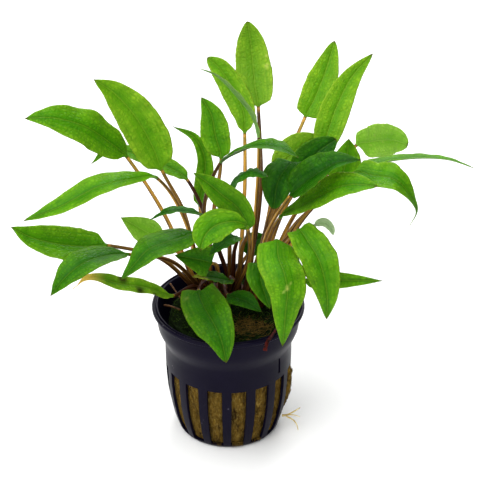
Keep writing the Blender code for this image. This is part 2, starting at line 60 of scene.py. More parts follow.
# %% Place the camera
scene = bpy.context.scene
CAMERA_TARGET = Vector((0.0043, 0.0, 0.0788))
CAMERA_DISTANCE = 0.719
CAMERA_ELEVATION = math.radians(30.9)
camera_data = bpy.data.cameras.new("camera")
camera_data.lens = 150.0
camera_data.sensor_width = 36.0
camera = bpy.data.objects.new("camera", camera_data)
scene.collection.objects.link(camera)
back = Vector((0.0, -math.cos(CAMERA_ELEVATION), math.sin(CAMERA_ELEVATION)))
camera.location = CAMERA_TARGET + back * CAMERA_DISTANCE
camera.rotation_euler = (math.pi / 2 - CAMERA_ELEVATION, 0.0, 0.0)
scene.camera = camera
print("camera at", [round(value, 3) for value in camera.location])

# %% [markdown]
# ## Light and floor
# The plant was lit softly from all around on a white sweep, so the world itself is a pale
# light. A wide lamp above gives the satin sheen on the arched leaves, one behind makes thin
# leaves glow, and the widest, in front at the left, lights the stalks and the pot. A floor
# that is almost white keeps only the shadow right under the pot.

# %% Light the scene
scene.view_settings.view_transform = "Standard"
WORLD_STRENGTH = 0.3
world = bpy.data.worlds.new("pale studio")
world.use_nodes = True
background = world.node_tree.nodes["Background"]
background.inputs["Color"].default_value = (1.0, 1.0, 1.0, 1.0)
background.inputs["Strength"].default_value = WORLD_STRENGTH
scene.world = world
# Each lamp: its place and the side of its square in metres, and its power in watts
LAMPS = {
    "lamp_above": ((-0.2, -0.1, 0.85), 1.0, 11.8),
    "lamp_behind": ((0.15, 0.75, 0.55), 0.45, 4.5),
    "lamp_front": ((-0.25, -0.8, 0.5), 1.6, 7.8),
}
for lamp_name, (place, size, watts) in LAMPS.items():
    lamp_data = bpy.data.lights.new(lamp_name, "AREA")
    lamp_data.size = size
    lamp_data.energy = watts
    lamp = bpy.data.objects.new(lamp_name, lamp_data)
    lamp.location = place
    lamp.rotation_euler = (CAMERA_TARGET - Vector(place)).to_track_quat("-Z", "Y").to_euler()
    scene.collection.objects.link(lamp)
print(len(LAMPS), "lamps")

# %% [markdown]
# ## Helpers for colours and meshes
# Screens and photographs give colours as sRGB hex, but light adds up in linear values, so
# one function turns each colour. Another adds a shader node with its settings and links.
# Most pieces here are rings of points along a path, and one function closes these to a tube.

# %% Colours and nodes


def linear(hex_colour):
    """A linear colour with alpha, from sRGB hex."""
    values = [int(hex_colour[i:i + 2], 16) / 255 for i in (1, 3, 5)]
    return [v / 12.92 if v <= 0.04045 else ((v + 0.055) / 1.055) ** 2.4 for v in values] + [1.0]


def add_node(tree, kind, inputs=None, **settings):
    """Adds a shader node. An input gets a number, a hex colour, a socket or another node,
    of which it takes the first output."""
    node = tree.nodes.new("ShaderNode" + kind)
    for name, value in settings.items():
        setattr(node, name, value)
    for name, value in (inputs or {}).items():
        if isinstance(value, bpy.types.Node):
            value = value.outputs[0]
        if isinstance(value, bpy.types.NodeSocket):
            tree.links.new(value, node.inputs[name])
        else:
            node.inputs[name].default_value = linear(value) if isinstance(value, str) else value
    return node


def tint(tree, under, over, value, start, end, low=0.0, high=1.0, ease="LINEAR"):
    """Mixes a colour over another. Its share goes from low to high as a value goes from
    start to end."""
    share = add_node(tree, "MapRange", {
        "Value": value, "From Min": start, "From Max": end, "To Min": low, "To Max": high},
        interpolation_type=ease)
    return add_node(tree, "MixRGB", {"Fac": share, "Color1": under, "Color2": over})


def new_material(name):
    """An empty material and its node tree."""
    made = bpy.data.materials.new(name)
    made.use_nodes = True
    made.node_tree.nodes.clear()
    return made, made.node_tree


print("leaf green in linear values:", [round(v, 3) for v in linear("#62a80a")])

# %% Mesh helpers


def polar(radius, degrees, z):
    """A point at an angle from the front, positive towards +X."""
    angle = math.radians(degrees)
    return Vector((radius * math.sin(angle), -radius * math.cos(angle), z))


def add_piece(name, points, faces, materials, nodes):
    """Makes a mesh piece from points in millimetres, which stands for some CAD nodes."""
    mesh = bpy.data.meshes.new(name)
    mesh.from_pydata([tuple(value * MM for value in point) for point in points], [], faces)
    for each in materials:
        mesh.materials.append(each)
    mesh.shade_smooth()
    piece = bpy.data.objects.new(name, mesh)
    scene.collection.objects.link(piece)
    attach(piece, "root")
    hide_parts(*nodes)
    return piece


def tube_faces(first, count, rows):
    """Faces between rings of points that follow each other in a list, with a cap at each end."""
    faces = []
    for row in range(rows - 1):
        low = first + row * count
        high = low + count
        for i in range(count):
            j = (i + 1) % count
            faces.append((low + i, low + j, high + j, high + i))
    last = first + count * (rows - 1)
    faces.append(tuple(range(first, first + count))[::-1])
    faces.append(tuple(range(last, last + count)))
    return faces


def smooth_step(value, start, end):
    """From 0 at start to 1 at end, easing in and out."""
    share = min(max((value - start) / (end - start), 0.0), 1.0)
    return share * share * (3 - 2 * share)


def directions_along(points):
    """The direction of a smooth path at each of its points."""
    found = []
    for i in range(len(points)):
        before = points[max(i - 1, 0)]
        after = points[min(i + 1, len(points) - 1)]
        found.append((after - before).normalized())
    return found


def path_point(points, directions, span, t):
    """The place and direction on one span of the path, a cubic between two points."""
    a, d = points[span], points[span + 1]
    third = (d - a).length / 3
    b = a + directions[span] * third
    c = d - directions[span + 1] * third
    s = 1 - t
    place = a * s ** 3 + b * 3 * s * s * t + c * 3 * s * t * t + d * t ** 3
    heading = (b - a) * s * s + (c - b) * 2 * s * t + (d - c) * t * t
    return place, heading.normalized()


def square_to(heading, face):
    """The direction nearest to face that is square to heading."""
    return (face - heading * face.dot(heading)).normalized()


print("a tube of 3 rings of 4 points has", len(tube_faces(0, 4, 3)), "faces")

# %% [markdown]
# ## Leaf blade
# A leaf is a thin satin skin over soft green flesh. Light from behind passes through it, so
# the gloss of a Principled shader is mixed with a Translucent one. The colour is laid on in
# thin layers, each where a measure of the blade says: how far across and along a point is,
# its place in mm, and how near it is to a mark.

# %% Blade material


def blade_material(name, deep, bright, glow, sheen_roughness, rib_shade=0.26, old_end=None):
    """Living leaf: waxy cuticle, grown. The wax gives a satin light on bent places."""
    made, tree = new_material(name)
    share, place, mark = [
        add_node(tree, "Attribute", attribute_name=kept).outputs["Vector"]
        for kept in ("leaf_share", "leaf_place", "leaf_mark")]
    shares = add_node(tree, "SeparateXYZ", {"Vector": share}).outputs
    places = add_node(tree, "SeparateXYZ", {"Vector": place}).outputs
    marks = add_node(tree, "SeparateXYZ", {"Vector": mark}).outputs
    across = add_node(tree, "Math", {0: shares["X"]}, operation="ABSOLUTE")
    from_rib = add_node(tree, "Math", {0: places["X"]}, operation="ABSOLUTE")

    # Blotches of deeper green, about 4 mm across
    blotch = add_node(tree, "TexNoise", {
        "Vector": place, "Scale": 0.25, "Detail": 3.0, "Roughness": 0.6})
    colour = tint(tree, bright, deep, blotch, 0.35, 0.68)
    # Streaks between the long veins, which run from the neck to the tip
    stretched = add_node(tree, "VectorMath", {0: share, 1: (9.0, 1.6, 5.0)}, operation="MULTIPLY")
    streak = add_node(tree, "TexNoise", {
        "Vector": stretched, "Scale": 1.0, "Detail": 4.0, "Roughness": 0.55})
    colour = tint(tree, colour, glow, streak, 0.4, 0.75, 0.0, 0.5)
    # The flesh is thick and deep green by the midrib, and thin and yellower at the sides
    colour = tint(tree, colour, deep, across, 0.05, 0.55, 0.62, 0.0, "SMOOTHSTEP")
    colour = tint(tree, colour, glow, across, 0.5, 0.95, 0.0, 0.3, "SMOOTHSTEP")

    # A net of small veins, 1.4 mm apart, darker than the swollen flesh between them
    net = add_node(tree, "TexVoronoi", {
        "Vector": place, "Scale": 0.7}, feature="DISTANCE_TO_EDGE")
    net_height = add_node(tree, "MapRange", {
        "Value": net, "From Max": 0.35}, interpolation_type="SMOOTHSTEP")
    fleshy = add_node(tree, "TexNoise", {
        "Vector": place, "Scale": 0.9, "Detail": 5.0, "Roughness": 0.7})
    thin = add_node(tree, "Math", {0: fleshy, 1: net_height}, operation="MULTIPLY")
    colour = tint(tree, colour, deep, thin, 0.1, 0.5, 0.42, 0.0)
    # Two long veins at each side run with the margin
    vein_wave = add_node(tree, "Math", {0: across, 1: 18.0}, operation="MULTIPLY")
    vein_line = add_node(tree, "Math", {0: vein_wave}, operation="COSINE")
    vein = add_node(tree, "MapRange", {
        "Value": vein_line, "From Min": 0.8, "From Max": 1.0, "To Max": 0.3})
    colour = add_node(tree, "MixRGB", {"Fac": vein, "Color1": colour, "Color2": deep})
    # Painted shade darkens the sunken midrib, under 1 mm wide at each side, and a pale line runs along
    # it
    colour = tint(tree, colour, "#113602", from_rib, 0.2, 0.85, rib_shade, 0.0, "SMOOTHSTEP")
    colour = tint(tree, colour, glow, from_rib, 0.08, 0.25, 0.22, 0.0)
    # The margin is a thin pale line, and pale flecks show where the skin was hurt
    colour = tint(tree, colour, glow, across, 0.92, 1.0, 0.0, 0.45)
    colour = add_node(tree, "MixRGB", {"Fac": marks["X"], "Color1": colour, "Color2": "#c3cc62"})
    if old_end:
        # The old end turns yellow, and dark decayed patches stand before it
        colour = tint(tree, colour, old_end, shares["Y"], 0.6, 0.78, ease="SMOOTHSTEP")
        colour = add_node(tree, "MixRGB", {
            "Fac": marks["Y"], "Color1": colour, "Color2": "#20240a"})
    else:
        # The very tip is a brown point
        colour = tint(tree, colour, "#4f4416", shares["Y"], 0.965, 0.99, 0.0, 0.8)
    # The underside is paler and duller: the third share is 1 there
    pale = add_node(tree, "MixRGB", {"Fac": 0.4, "Color1": colour, "Color2": "#8fb27a"})
    colour = add_node(tree, "MixRGB", {"Fac": shares["Z"], "Color1": colour, "Color2": pale})

    # The net and the long veins are sunken, over a finer grain of cells
    swollen = add_node(tree, "Math", {0: thin, 1: 1.6}, operation="MULTIPLY")
    sunken = add_node(tree, "Math", {0: swollen, 1: vein}, operation="SUBTRACT")
    grain = add_node(tree, "TexNoise", {"Vector": place, "Scale": 2.2, "Detail": 3.0})
    net_bump = add_node(tree, "Bump", {
        "Height": sunken, "Strength": 0.8, "Distance": 0.18 * MM})
    bump = add_node(tree, "Bump", {
        "Height": grain, "Strength": 0.5, "Distance": 0.12 * MM, "Normal": net_bump})
    rough = add_node(tree, "MapRange", {
        "Value": grain, "To Min": sheen_roughness - 0.08, "To Max": sheen_roughness + 0.1})
    skin = add_node(tree, "BsdfPrincipled", {
        "Base Color": colour, "Roughness": rough, "IOR": 1.43, "Specular IOR Level": 0.12,
        "Normal": bump})
    through = add_node(tree, "MixRGB", {"Fac": 0.5, "Color1": colour, "Color2": glow})
    flesh = add_node(tree, "BsdfTranslucent", {"Color": through, "Normal": bump})
    leaf_mix = add_node(tree, "MixShader", {"Fac": 0.3, 1: skin, 2: flesh})
    add_node(tree, "OutputMaterial", {"Surface": leaf_mix})
    return made


# Each tone: its slot in the imported model, its material's name, its deep, bright and glowing green,
# the roughness of its sheen, how dark the midrib's painted shade is, and the colour of an old end.
# Several tones are the green with light or shade painted into it: lit and bright are painted lighter
# for leaves that the light reaches well, pale is painted lighter for leaves lit through from behind,
# and low and dark are painted darker for leaves in the shade of others.
TONES = {
    "green": ("leaf_green", "satin leaf", "#307600", "#62a80a", "#9cc02a", 0.4),
    "lit": ("leaf_green", "leaf with painted top light", "#488a04", "#7cb216", "#acc838", 0.42, 0.12),
    "low": ("leaf_green", "leaf with painted shade", "#1a5a00", "#3c8604", "#7ca81c", 0.4),
    "pale": ("leaf_pale", "pale leaf with painted back light", "#548c10", "#84b220", "#aeca40", 0.42, 0.12),
    "bright": ("leaf_pale", "leaf with painted strong light", "#6cb020", "#9cd240", "#c4e66c", 0.45, 0.1),
    "faded": ("leaf_pale", "faded leaf", "#a4c888", "#c8dcb0", "#dce8c8", 0.5, 0.05),
    "dark": ("leaf_dark", "shaded leaf", "#0a4402", "#2a7404", "#5a9018", 0.38),
    "ageing": ("leaf_ageing", "ageing leaf", "#4a9210", "#8cc220", "#c0d848", 0.42, 0.25, "#f4cc60"),
    "turning": ("leaf_ageing", "turning leaf", "#10480a", "#2f740c", "#6c9428", 0.4, 0.4, "#9aa42a"),
}
BLADES = {tone: blade_material(*looks) for tone, (_, *looks) in TONES.items()}
print("blade materials:", sorted(BLADES))

# %% [markdown]
# ## Leaf stalk
# The stalks are smooth, moist and a little see-through. They are red-brown at the foot and amber
# further up, with long dark streaks, so the colour follows the height on the stalk and a noise that is
# stretched along it. Painted shade darkens each side of a stalk.

# %% Stalk material


def stalk_material():
    """Living stalk: smooth skin, grown. Its moist skin gives narrow bright lines."""
    made, tree = new_material("moist stalk skin")
    share = add_node(tree, "Attribute", attribute_name="leaf_share").outputs["Vector"]
    shares = add_node(tree, "SeparateXYZ", {"Vector": share}).outputs
    around = add_node(tree, "Math", {0: shares["X"]}, operation="ABSOLUTE")
    # Red-brown at the foot, amber above it, and green where the blade begins
    colour = tint(tree, "#4c230b", "#e2ac48", shares["Y"], 0.0, 0.28)
    colour = tint(tree, colour, "#6f7d24", shares["Y"], 0.8, 1.0, 0.0, 0.6)
    # The third share is how red-brown this stalk is all along
    colour = add_node(tree, "MixRGB", {"Fac": shares["Z"], "Color1": colour, "Color2": "#3d1f0e"})
    # Long dark streaks, and painted shade down each side
    stretched = add_node(tree, "VectorMath", {0: share, 1: (1.7, 5.0, 40.0)}, operation="MULTIPLY")
    streak = add_node(tree, "TexNoise", {"Vector": stretched, "Scale": 1.6, "Detail": 3.0})
    colour = tint(tree, colour, "#3a1a08", streak, 0.5, 0.68, 0.0, 0.75)
    colour = tint(tree, colour, "#2c1306", around, 0.4, 0.8, 0.0, 0.85)
    skin = add_node(tree, "BsdfPrincipled", {
        "Base Color": colour, "Roughness": 0.32, "IOR": 1.42, "Specular IOR Level": 0.25})
    flesh = add_node(tree, "BsdfTranslucent", {"Color": colour})
    stalk_mix = add_node(tree, "MixShader", {"Fac": 0.2, 1: skin, 2: flesh})
    add_node(tree, "OutputMaterial", {"Surface": stalk_mix})
    return made


STALK = stalk_material()
print("stalk material:", STALK.name)

# %% [markdown]
# ## The leaves
# A leaf grew as one piece: a thin round stalk that flattens into the blade, with a rib under
# it. Rings of points are set along a smooth path and change from round to a thin lens.
# Each leaf's places are listed: foot, neck, one or more points on the midrib, tip.
# So are its tone of green, which for some leaves has light or shade painted into it, the swing of its
# margins, the red-brown of its stalk, and its marks, because these tell one leaf from the next.

# %% Measures of a leaf
CROWN_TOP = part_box("crown_left")[1].z / MM
# In mm: the stalk from where it starts to the neck, then the blade
FOOT_Z = CROWN_TOP + 0.95
FOOT_DEPTH = 1.6
FOOT_RADIUS = 0.88
NECK_RADIUS = 0.62
LAMINA = 0.3
GROOVE = 0.2
TIP_HALF_WIDTH = 0.14
# The share of the blade's length that its lobes take up
LOBE_REACH = 0.38
# The power of the outline before its widest place: a low one makes it round
BASE_ROUNDNESS = {"wedge": 0.95, "round": 0.6, "heart": 0.42}
STALK_ROWS = 26
STALK_PATTERN = 60.0
PATTERN_SHIFT = 13.0
HALF_ACROSS = (0.05, 0.11, 0.2, 0.32, 0.45, 0.58, 0.71, 0.83, 0.93, 1.0)
ACROSS = [-s for s in reversed(HALF_ACROSS)] + [0.0] + list(HALF_ACROSS)
# Round a ring: how far across each point is, and 1 on the upper side or -1 below
AROUND = [(s, 1) for s in ACROSS] + [(s, -1) for s in reversed(ACROSS[1:-1])]
# Rings of the blade lie closer together at the neck and at the tip
BLADE_STEPS = [0.0, 0.012, 0.026, 0.044, 0.066, 0.09]
BLADE_STEPS += [0.09 + 0.83 * i / 34 for i in range(1, 35)]
BLADE_STEPS += [0.94, 0.96, 0.975, 0.988, 1.0]
FRONT = (0.0, -0.86, 0.51)
# What a leaf has unless it says otherwise. blunt is its outline's power beyond the widest
# place, and waves how many swings of the margin there are
USUAL_HABITS = dict(
    tip_face=None, fold=(0.15, 0.15), base="round", lobe=0.0, knee=None, tone="green",
    widest=0.38, blunt=0.9, wave=(0.02, 0.02), waves=5.0, ruddy=0.3, marks=())
print(len(AROUND), "points round a leaf,", STALK_ROWS + len(BLADE_STEPS), "rings")


def leaf(foot, neck, mid, tip, width, face=FRONT, **own):
    """One leaf's places in millimetres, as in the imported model, and its own habits.

    face is the way its upper side looks, fold how steeply its halves rise from the rib,
    and wave how far each margin swings for its width. A knee is a place that the stalk
    bends through, and ruddy is how red-brown it is. A mark is a pale fleck, or a dark one
    below zero: how far along and across it is, its radius in mm and its strength.
    """
    mids = mid if isinstance(mid, list) else [mid]
    return {**USUAL_HABITS, "foot": foot, "neck": neck, "mids": mids, "tip": tip,
            "width": width, "face": face, **own}


# %% The forty-one leaves
LEAVES = {
    # Left crown
    "leaf_01": leaf((-12.8, 9.9), (-36, 8, 108.5), [(-42, 7, 115), (-50, 4.5, 122.5), (-61, 1, 127.7)],
        (-70, -2, 129), 14, (0, -0.5, 0.87), fold=(-0.15, 0.1), knee=(-23, 9, 84), widest=0.45,
        wave=(0.02, 0.09), waves=4.0, ruddy=0.0),
    "leaf_02": leaf((-10.6, 9.9), (-23.5, 4, 105.5),
        [(-26.5, 6, 113.5), (-32.5, 8, 124.5), (-39.5, 9, 133)], (-46.5, 8, 139), 15, (0.1, -0.8, 0.6),
        blunt=0.85, wave=(0.01, 0.05), waves=6.0, tone="lit", ruddy=0.55),
    "leaf_03": leaf((-9.5, 8), (-25, -2, 105.5),
        [(-33, -7, 108), (-44.5, -14, 108.8), (-57.5, -19.5, 104)], (-70.5, -22, 99.5), 11.5,
        (0, 0.1, 1), tip_face=(0, -0.3, 0.95), widest=0.5, wave=(0.01, 0.01), ruddy=0.1),
    "leaf_04": leaf((-12.8, 6.1), (-43, -9, 82),
        [(-51, -12.5, 83.7), (-60.5, -16.5, 87.3), (-69, -19, 91.5)], (-75, -20, 96), 14.5,
        (0, -0.5, 0.87), wave=(0.01, 0.01), ruddy=0.75),
    "leaf_05": leaf((-10.6, 6.1), (-35, -16, 82.5),
        [(-41.5, -23, 86.5), (-49, -32, 89), (-55, -37, 86.5)], (-60.5, -40, 80.5), 12,
        (0, -0.25, 0.97), widest=0.5, wave=(0.01, 0.03), tone="low", ruddy=0.75),
    "leaf_06": leaf((-9.5, 4.2), (-20, -7, 59.5),
        [(-28.5, -13.5, 67), (-38, -19.5, 72.5), (-48.5, -25, 78.5)], (-54, -27, 75), 6.3,
        (0, -0.5, 0.86), knee=(-13.5, 0, 59), widest=0.42, blunt=1.7,
        marks=((0.47, 0.7, 3.0, -1.0), (0.34, -0.6, 2.6, -1.0), (0.2, -0.9, 1.8, -0.8)), tone="ageing",
        wave=(0.08, 0.1), waves=4.0, ruddy=1.0),
    "leaf_07": leaf((-11.7, 8), (-24.5, 2, 77.5), (-30.5, 0, 83), (-38, -4, 90.5), 10, (0, -0.8, 0.6),
        tone="bright", ruddy=0.1),
    "leaf_08": leaf((-8.4, 6.1), (-11.5, -16, 91),
        [(-17.5, -21, 92), (-23, -27, 93.5), (-27.5, -32, 93.8), (-31.5, -35, 90.5)],
        (-36.5, -38, 85.5), 13, (0, -0.6, 0.8), fold=(0.4, -0.5), tone="low", wave=(0.05, 0.07),
        waves=4.0, ruddy=0.6),
    "leaf_09": leaf((-6.2, 6.1), (-9, -10, 95), [(-14.5, -13, 98.2), (-20, -16, 100)], (-27, -18, 97.8),
        8, (0, 0.15, 0.99), tone="dark", wave=(0.06, 0.03), ruddy=0.5),
    "leaf_11": leaf((-7.3, 11.8), (-10.5, 22, 80),
        [(-9.5, 26, 86.5), (-8.6, 30, 95), (-12.3, 33.5, 102.5)], (-20.5, 36, 106), 6.5, widest=0.3,
        wave=(0.04, 0.04), ruddy=0.2),
    "leaf_12": leaf((-7.3, 4.2), (-10.5, -10, 63.5),
        [(-8.5, -18, 62), (-5.5, -25, 60.5), (-2.5, -29.5, 56)], (-0.5, -33, 48), 16, (0, -0.8, 0.6),
        base="heart", lobe=0.3, knee=(-8.5, -2.5, 63), blunt=0.75,
        marks=((0.12, 0.75, 0.7, 0.4), (0.3, 0.9, 0.8, 0.4), (0.42, 0.85, 0.6, 0.5)), tone="low",
        ruddy=1.0),
    "leaf_13": leaf((-8.4, 9.9), (-2.5, 14, 104.5), [(-4.5, 17.5, 112), (-6, 21, 118.5)],
        (-9.5, 24, 124), 10.5, knee=(-5, 12, 86), blunt=0.8, ruddy=0.6),
    "leaf_17": leaf((-7.3, 8), (-2.5, 2, 109.5), [(4.5, -1, 116), (10.5, -4.5, 119.7), (18, -9, 121.2)],
        (24.5, -12, 119), 11, (0, 0.1, 1), knee=(-8.5, 4, 90.5), widest=0.5, tone="low", ruddy=0.8),
    # Middle crown
    "leaf_10": leaf((0.5, 11.3), (-15, 20, 92.5), [(-20.5, 23.5, 95), (-32.5, 28.5, 98), (-44, 30, 99)],
        (-50.5, 29, 94), 7, (0, -0.4, 0.9), knee=(-9, 15, 82), wave=(0.04, 0.04), ruddy=1.0),
    "leaf_14": leaf((3.8, 9.4), (6, 22, 110.5), [(5.7, 27, 116), (2.2, 32, 122.5), (-3, 36, 129.5)],
        (-7.5, 38, 133), 9.5, knee=(6, 15, 91), widest=0.45, blunt=0.55, tone="lit", ruddy=0.0),
    "leaf_18": leaf((0.5, 7.5), (0.5, -8, 105), [(3.3, -9, 109.7), (8.5, -11, 113.3)], (14, -12.5, 112),
        9.5, (0, -0.1, 0.99), fold=(-0.3, -0.2), base="heart", widest=0.27, blunt=0.6, tone="dark",
        wave=(0.08, 0.06), ruddy=0.7),
    "leaf_19": leaf((3.8, 5.6), (7, -13, 90.5), [(4, -15, 100), (-2, -17.5, 107.5), (-7, -19.5, 113.5)],
        (-11.5, -21, 118), 9.5, (0, -0.8, 0.6), ruddy=0.7),
    "leaf_20": leaf((2.7, 3.7), (7, -20.5, 96),
        [(5.5, -22, 98.6), (1.4, -23.3, 100.2), (-4.3, -25, 99.4), (-7.8, -27.5, 96.8)],
        (-9.2, -30.5, 92.9), 11.5, (0, -0.75, 0.66), knee=(7.5, -10, 78), base="wedge", widest=0.65,
        wave=(0.05, 0.05), ruddy=0.7),
    "leaf_21": leaf((-2.8, 5.6), (-6, -16, 79), (-10, -18, 81.5), (-18.5, -20, 84.5), 11, base="heart",
        widest=0.3, tone="low", ruddy=0.4),
    "leaf_22": leaf((1.6, 5.6), (3, -10, 86), (-1.3, -14, 86.4), (-6.4, -18, 83.4), 8, (0, -0.1, 0.99),
        tone="dark", wave=(0.06, 0.06), ruddy=1.0),
    "leaf_23": leaf((0.5, 3.7), (1.5, -12, 69), (-5.5, -17, 73.5), (-12.3, -22, 77), 7, (0, -0.2, 0.97),
        base="wedge", knee=(1, -5, 66), tone="turning", wave=(0.03, 0.03), ruddy=1.0),
    "leaf_24": leaf((-1.7, 3.7), (0, -8, 60.5), (6.5, -15, 62.5), (12, -20, 61), 7, (0, -0.5, 0.86),
        knee=(-1.5, -3, 61), tone="dark", ruddy=1.0),
    "leaf_25": leaf((2.7, 11.3), (7, 14, 64), (9.5, 15, 69), (14.5, 16, 71), 8, tone="dark", ruddy=0.6),
    # Right crown
    "leaf_15": leaf((7.3, 1), (11, 14, 113), [(9, 17.5, 119.5), (3, 20, 127), (-4, 21, 134)],
        (-10, 20, 137.5), 8, (0.3, 0.51, 0.86), knee=(10, 5.5, 88), wave=(0.03, 0.03), tone="lit",
        ruddy=0.15),
    "leaf_16": leaf((6.2, 2.9), (11, 36, 114), [(10, 42, 118.5), (9, 48.5, 126), (8, 52.5, 134)],
        (7, 54, 140), 13.5, base="heart", lobe=0.03, knee=(11.7, 13, 90), blunt=0.62, tone="pale",
        ruddy=0.9, marks=((0.45, 0.75, 1.0, 0.8), (0.55, 0.85, 0.7, 0.7))),
    "leaf_26": leaf((9.5, 4.8), (28, 30, 113),
        [(31.3, 35, 117.5), (34.4, 41, 122.5), (36.8, 46, 127.5)], (39, 50, 134), 11.5, base="heart",
        lobe=0.1, blunt=0.65, tone="lit", ruddy=0.15),
    "leaf_27": leaf((10.6, 2.9), (33.5, 15, 106.5),
        [(36, 19, 113.5), (39.5, 25, 121), (44.5, 31, 128.5)], (52, 34, 136.5), 11, blunt=0.75,
        wave=(0.03, 0.03), tone="lit", ruddy=0.3),
    "leaf_28": leaf((11.7, 4.8), (46.5, 24, 104.5),
        [(51.5, 28, 103.7), (56.5, 33.5, 101.5), (62, 39, 98.5)], (67, 42, 95), 12.5, base="heart",
        widest=0.42, blunt=0.5, tone="bright", ruddy=0.3,
        marks=((0.25, 0.2, 0.7, 0.6), (0.35, -0.3, 0.6, 0.6), (0.5, 0.1, 0.6, 0.5))),
    "leaf_29": leaf((11.7, 1), (47.5, 3, 107),
        [(54.5, 5.6, 107.9), (62.5, 7.5, 108.1), (70.5, 7, 108.7), (78.5, 5, 108.9)], (87, 2.5, 107),
        10, (0, 0.32, 0.95), wave=(0.01, 0.01), ruddy=0.3),
    "leaf_30": leaf((13.9, 1), (44.5, -3, 108),
        [(51, -6, 108.6), (57, -9.5, 109.5), (62, -11, 106), (66, -11.5, 97.5)], (64, -11, 91), 12.5,
        (0.2, -0.5, 0.85), tip_face=(0.85, -0.3, 0.1), widest=0.32, knee=(26, -1.2, 87), blunt=1.9,
        wave=(0.08, 0.06), waves=4.0, ruddy=0.4),
    "leaf_31": leaf((10.6, -0.9), (18.5, -4, 90.5),
        [(25.5, -8, 97.5), (32, -11.5, 103.5), (38, -14, 108.5), (44.5, -16, 110.7)], (51.5, -18, 111),
        12, (0, -0.4, 0.9), widest=0.55, blunt=0.8, wave=(0.015, 0.02), ruddy=0.3),
    "leaf_32": leaf((8.4, -0.9), (22, -10, 103),
        [(27.5, -10, 108.5), (33, -10, 113), (38.5, -10.5, 116.3)], (46, -11, 117.5), 14,
        (0, -0.3, 0.95), fold=(0.35, 0.45), widest=0.35, tone="dark", wave=(0.015, 0.03), ruddy=0.1),
    "leaf_33": leaf((8.4, 2.9), (24.5, 5, 102), [(28.5, 6.5, 107), (32.5, 8, 111)], (38.5, 10, 114.5),
        12, blunt=0.55, tone="dark", ruddy=0.5),
    "leaf_34": leaf((12.8, 2.9), (38.5, 4.3, 98.5), (42, 9, 105.5), (43, 12, 113.5), 12,
        fold=(0.3, -0.4), knee=(23, 4.3, 81), blunt=0.8, ruddy=0.4),
    "leaf_35": leaf((7.3, 4.8), (18, 14, 99.5), [(22.5, 17, 104), (27.5, 20, 107.5)], (34, 23, 109), 12,
        knee=(13.5, 8, 78), tone="pale", ruddy=0.3),
    "leaf_36": leaf((6.2, -0.9), (11.7, -15, 78.3), [(11.5, -21.5, 76), (13, -25, 71.7)],
        (14.8, -26.5, 66.4), 10, (0, -0.2, 0.98), tip_face=FRONT, base="heart", widest=0.25, tone="low",
        ruddy=0.9),
    "leaf_37": leaf((9.5, -2.8), (17, -19, 90),
        [(17.5, -29, 89.3), (19.5, -36, 86.8), (20.5, -39.5, 82), (20, -41, 75.5), (19.5, -42, 68)],
        (19, -42, 61), 15.5, (0, -0.2, 0.98), tip_face=FRONT, fold=(-0.45, -0.1), base="heart",
        lobe=0.1, widest=0.27, blunt=0.85,
        marks=((0.47, 0.0, 1.1, 0.75), (0.44, -0.2, 0.8, 0.5), (0.5, 0.18, 0.7, 0.5)),
        wave=(0.03, 0.02), ruddy=0.3),
    "leaf_38": leaf((11.7, -2.8), (24.5, -16, 92.3),
        [(28.2, -22, 90.8), (31.6, -27.2, 87), (33.5, -30.2, 81.5), (34.6, -32, 74.5)],
        (34.5, -32, 65.7), 13, (0, -0.2, 0.98), tip_face=FRONT, fold=(0.1, 0.1), base="heart",
        lobe=0.25, blunt=0.8, wave=(0.09, 0.07), ruddy=0.5),
    "leaf_39": leaf((13.7, -3), (27.5, -8, 66), (38, -14, 70.5), (54.5, -20, 74), 6.5, ruddy=0.4),
    "leaf_40": leaf((12.8, -0.9), (31, -4, 87.3), [(34, -4, 88.6), (36.5, -5, 87)], (37.5, -6, 84.5),
        3.2, blunt=0.5, tone="faded", ruddy=0.3),
    "leaf_41": leaf((9.5, 1), (23, 2, 109), (18, -4, 106), (16, -9, 96.7), 12.5, (0, 0.3, 0.95),
        tip_face=FRONT, blunt=0.6, tone="dark", ruddy=0.6),
}
print(len(LEAVES), "leaves")

# %% [markdown]
# ## Growing a leaf
# The ring of a stalk is a circle. The ring of a blade runs over the upper side from one
# margin to the other and back below, with a groove above the midrib and a rib below it.
# Small waves in the margin and soft swellings between the veins make it look grown.

# %% Rings of a leaf


def half_width(t, habits):
    """Half the blade's width at t, which goes from 0 at the neck to 1 at the tip."""
    power = math.log(0.5) / math.log(habits["widest"])
    bulge = max(math.sin(math.pi * t ** power), 0.0)
    roundness = BASE_ROUNDNESS[habits["base"]] if t < habits["widest"] else habits["blunt"]
    return max(0.5 * habits["width"] * bulge ** roundness, TIP_HALF_WIDTH)


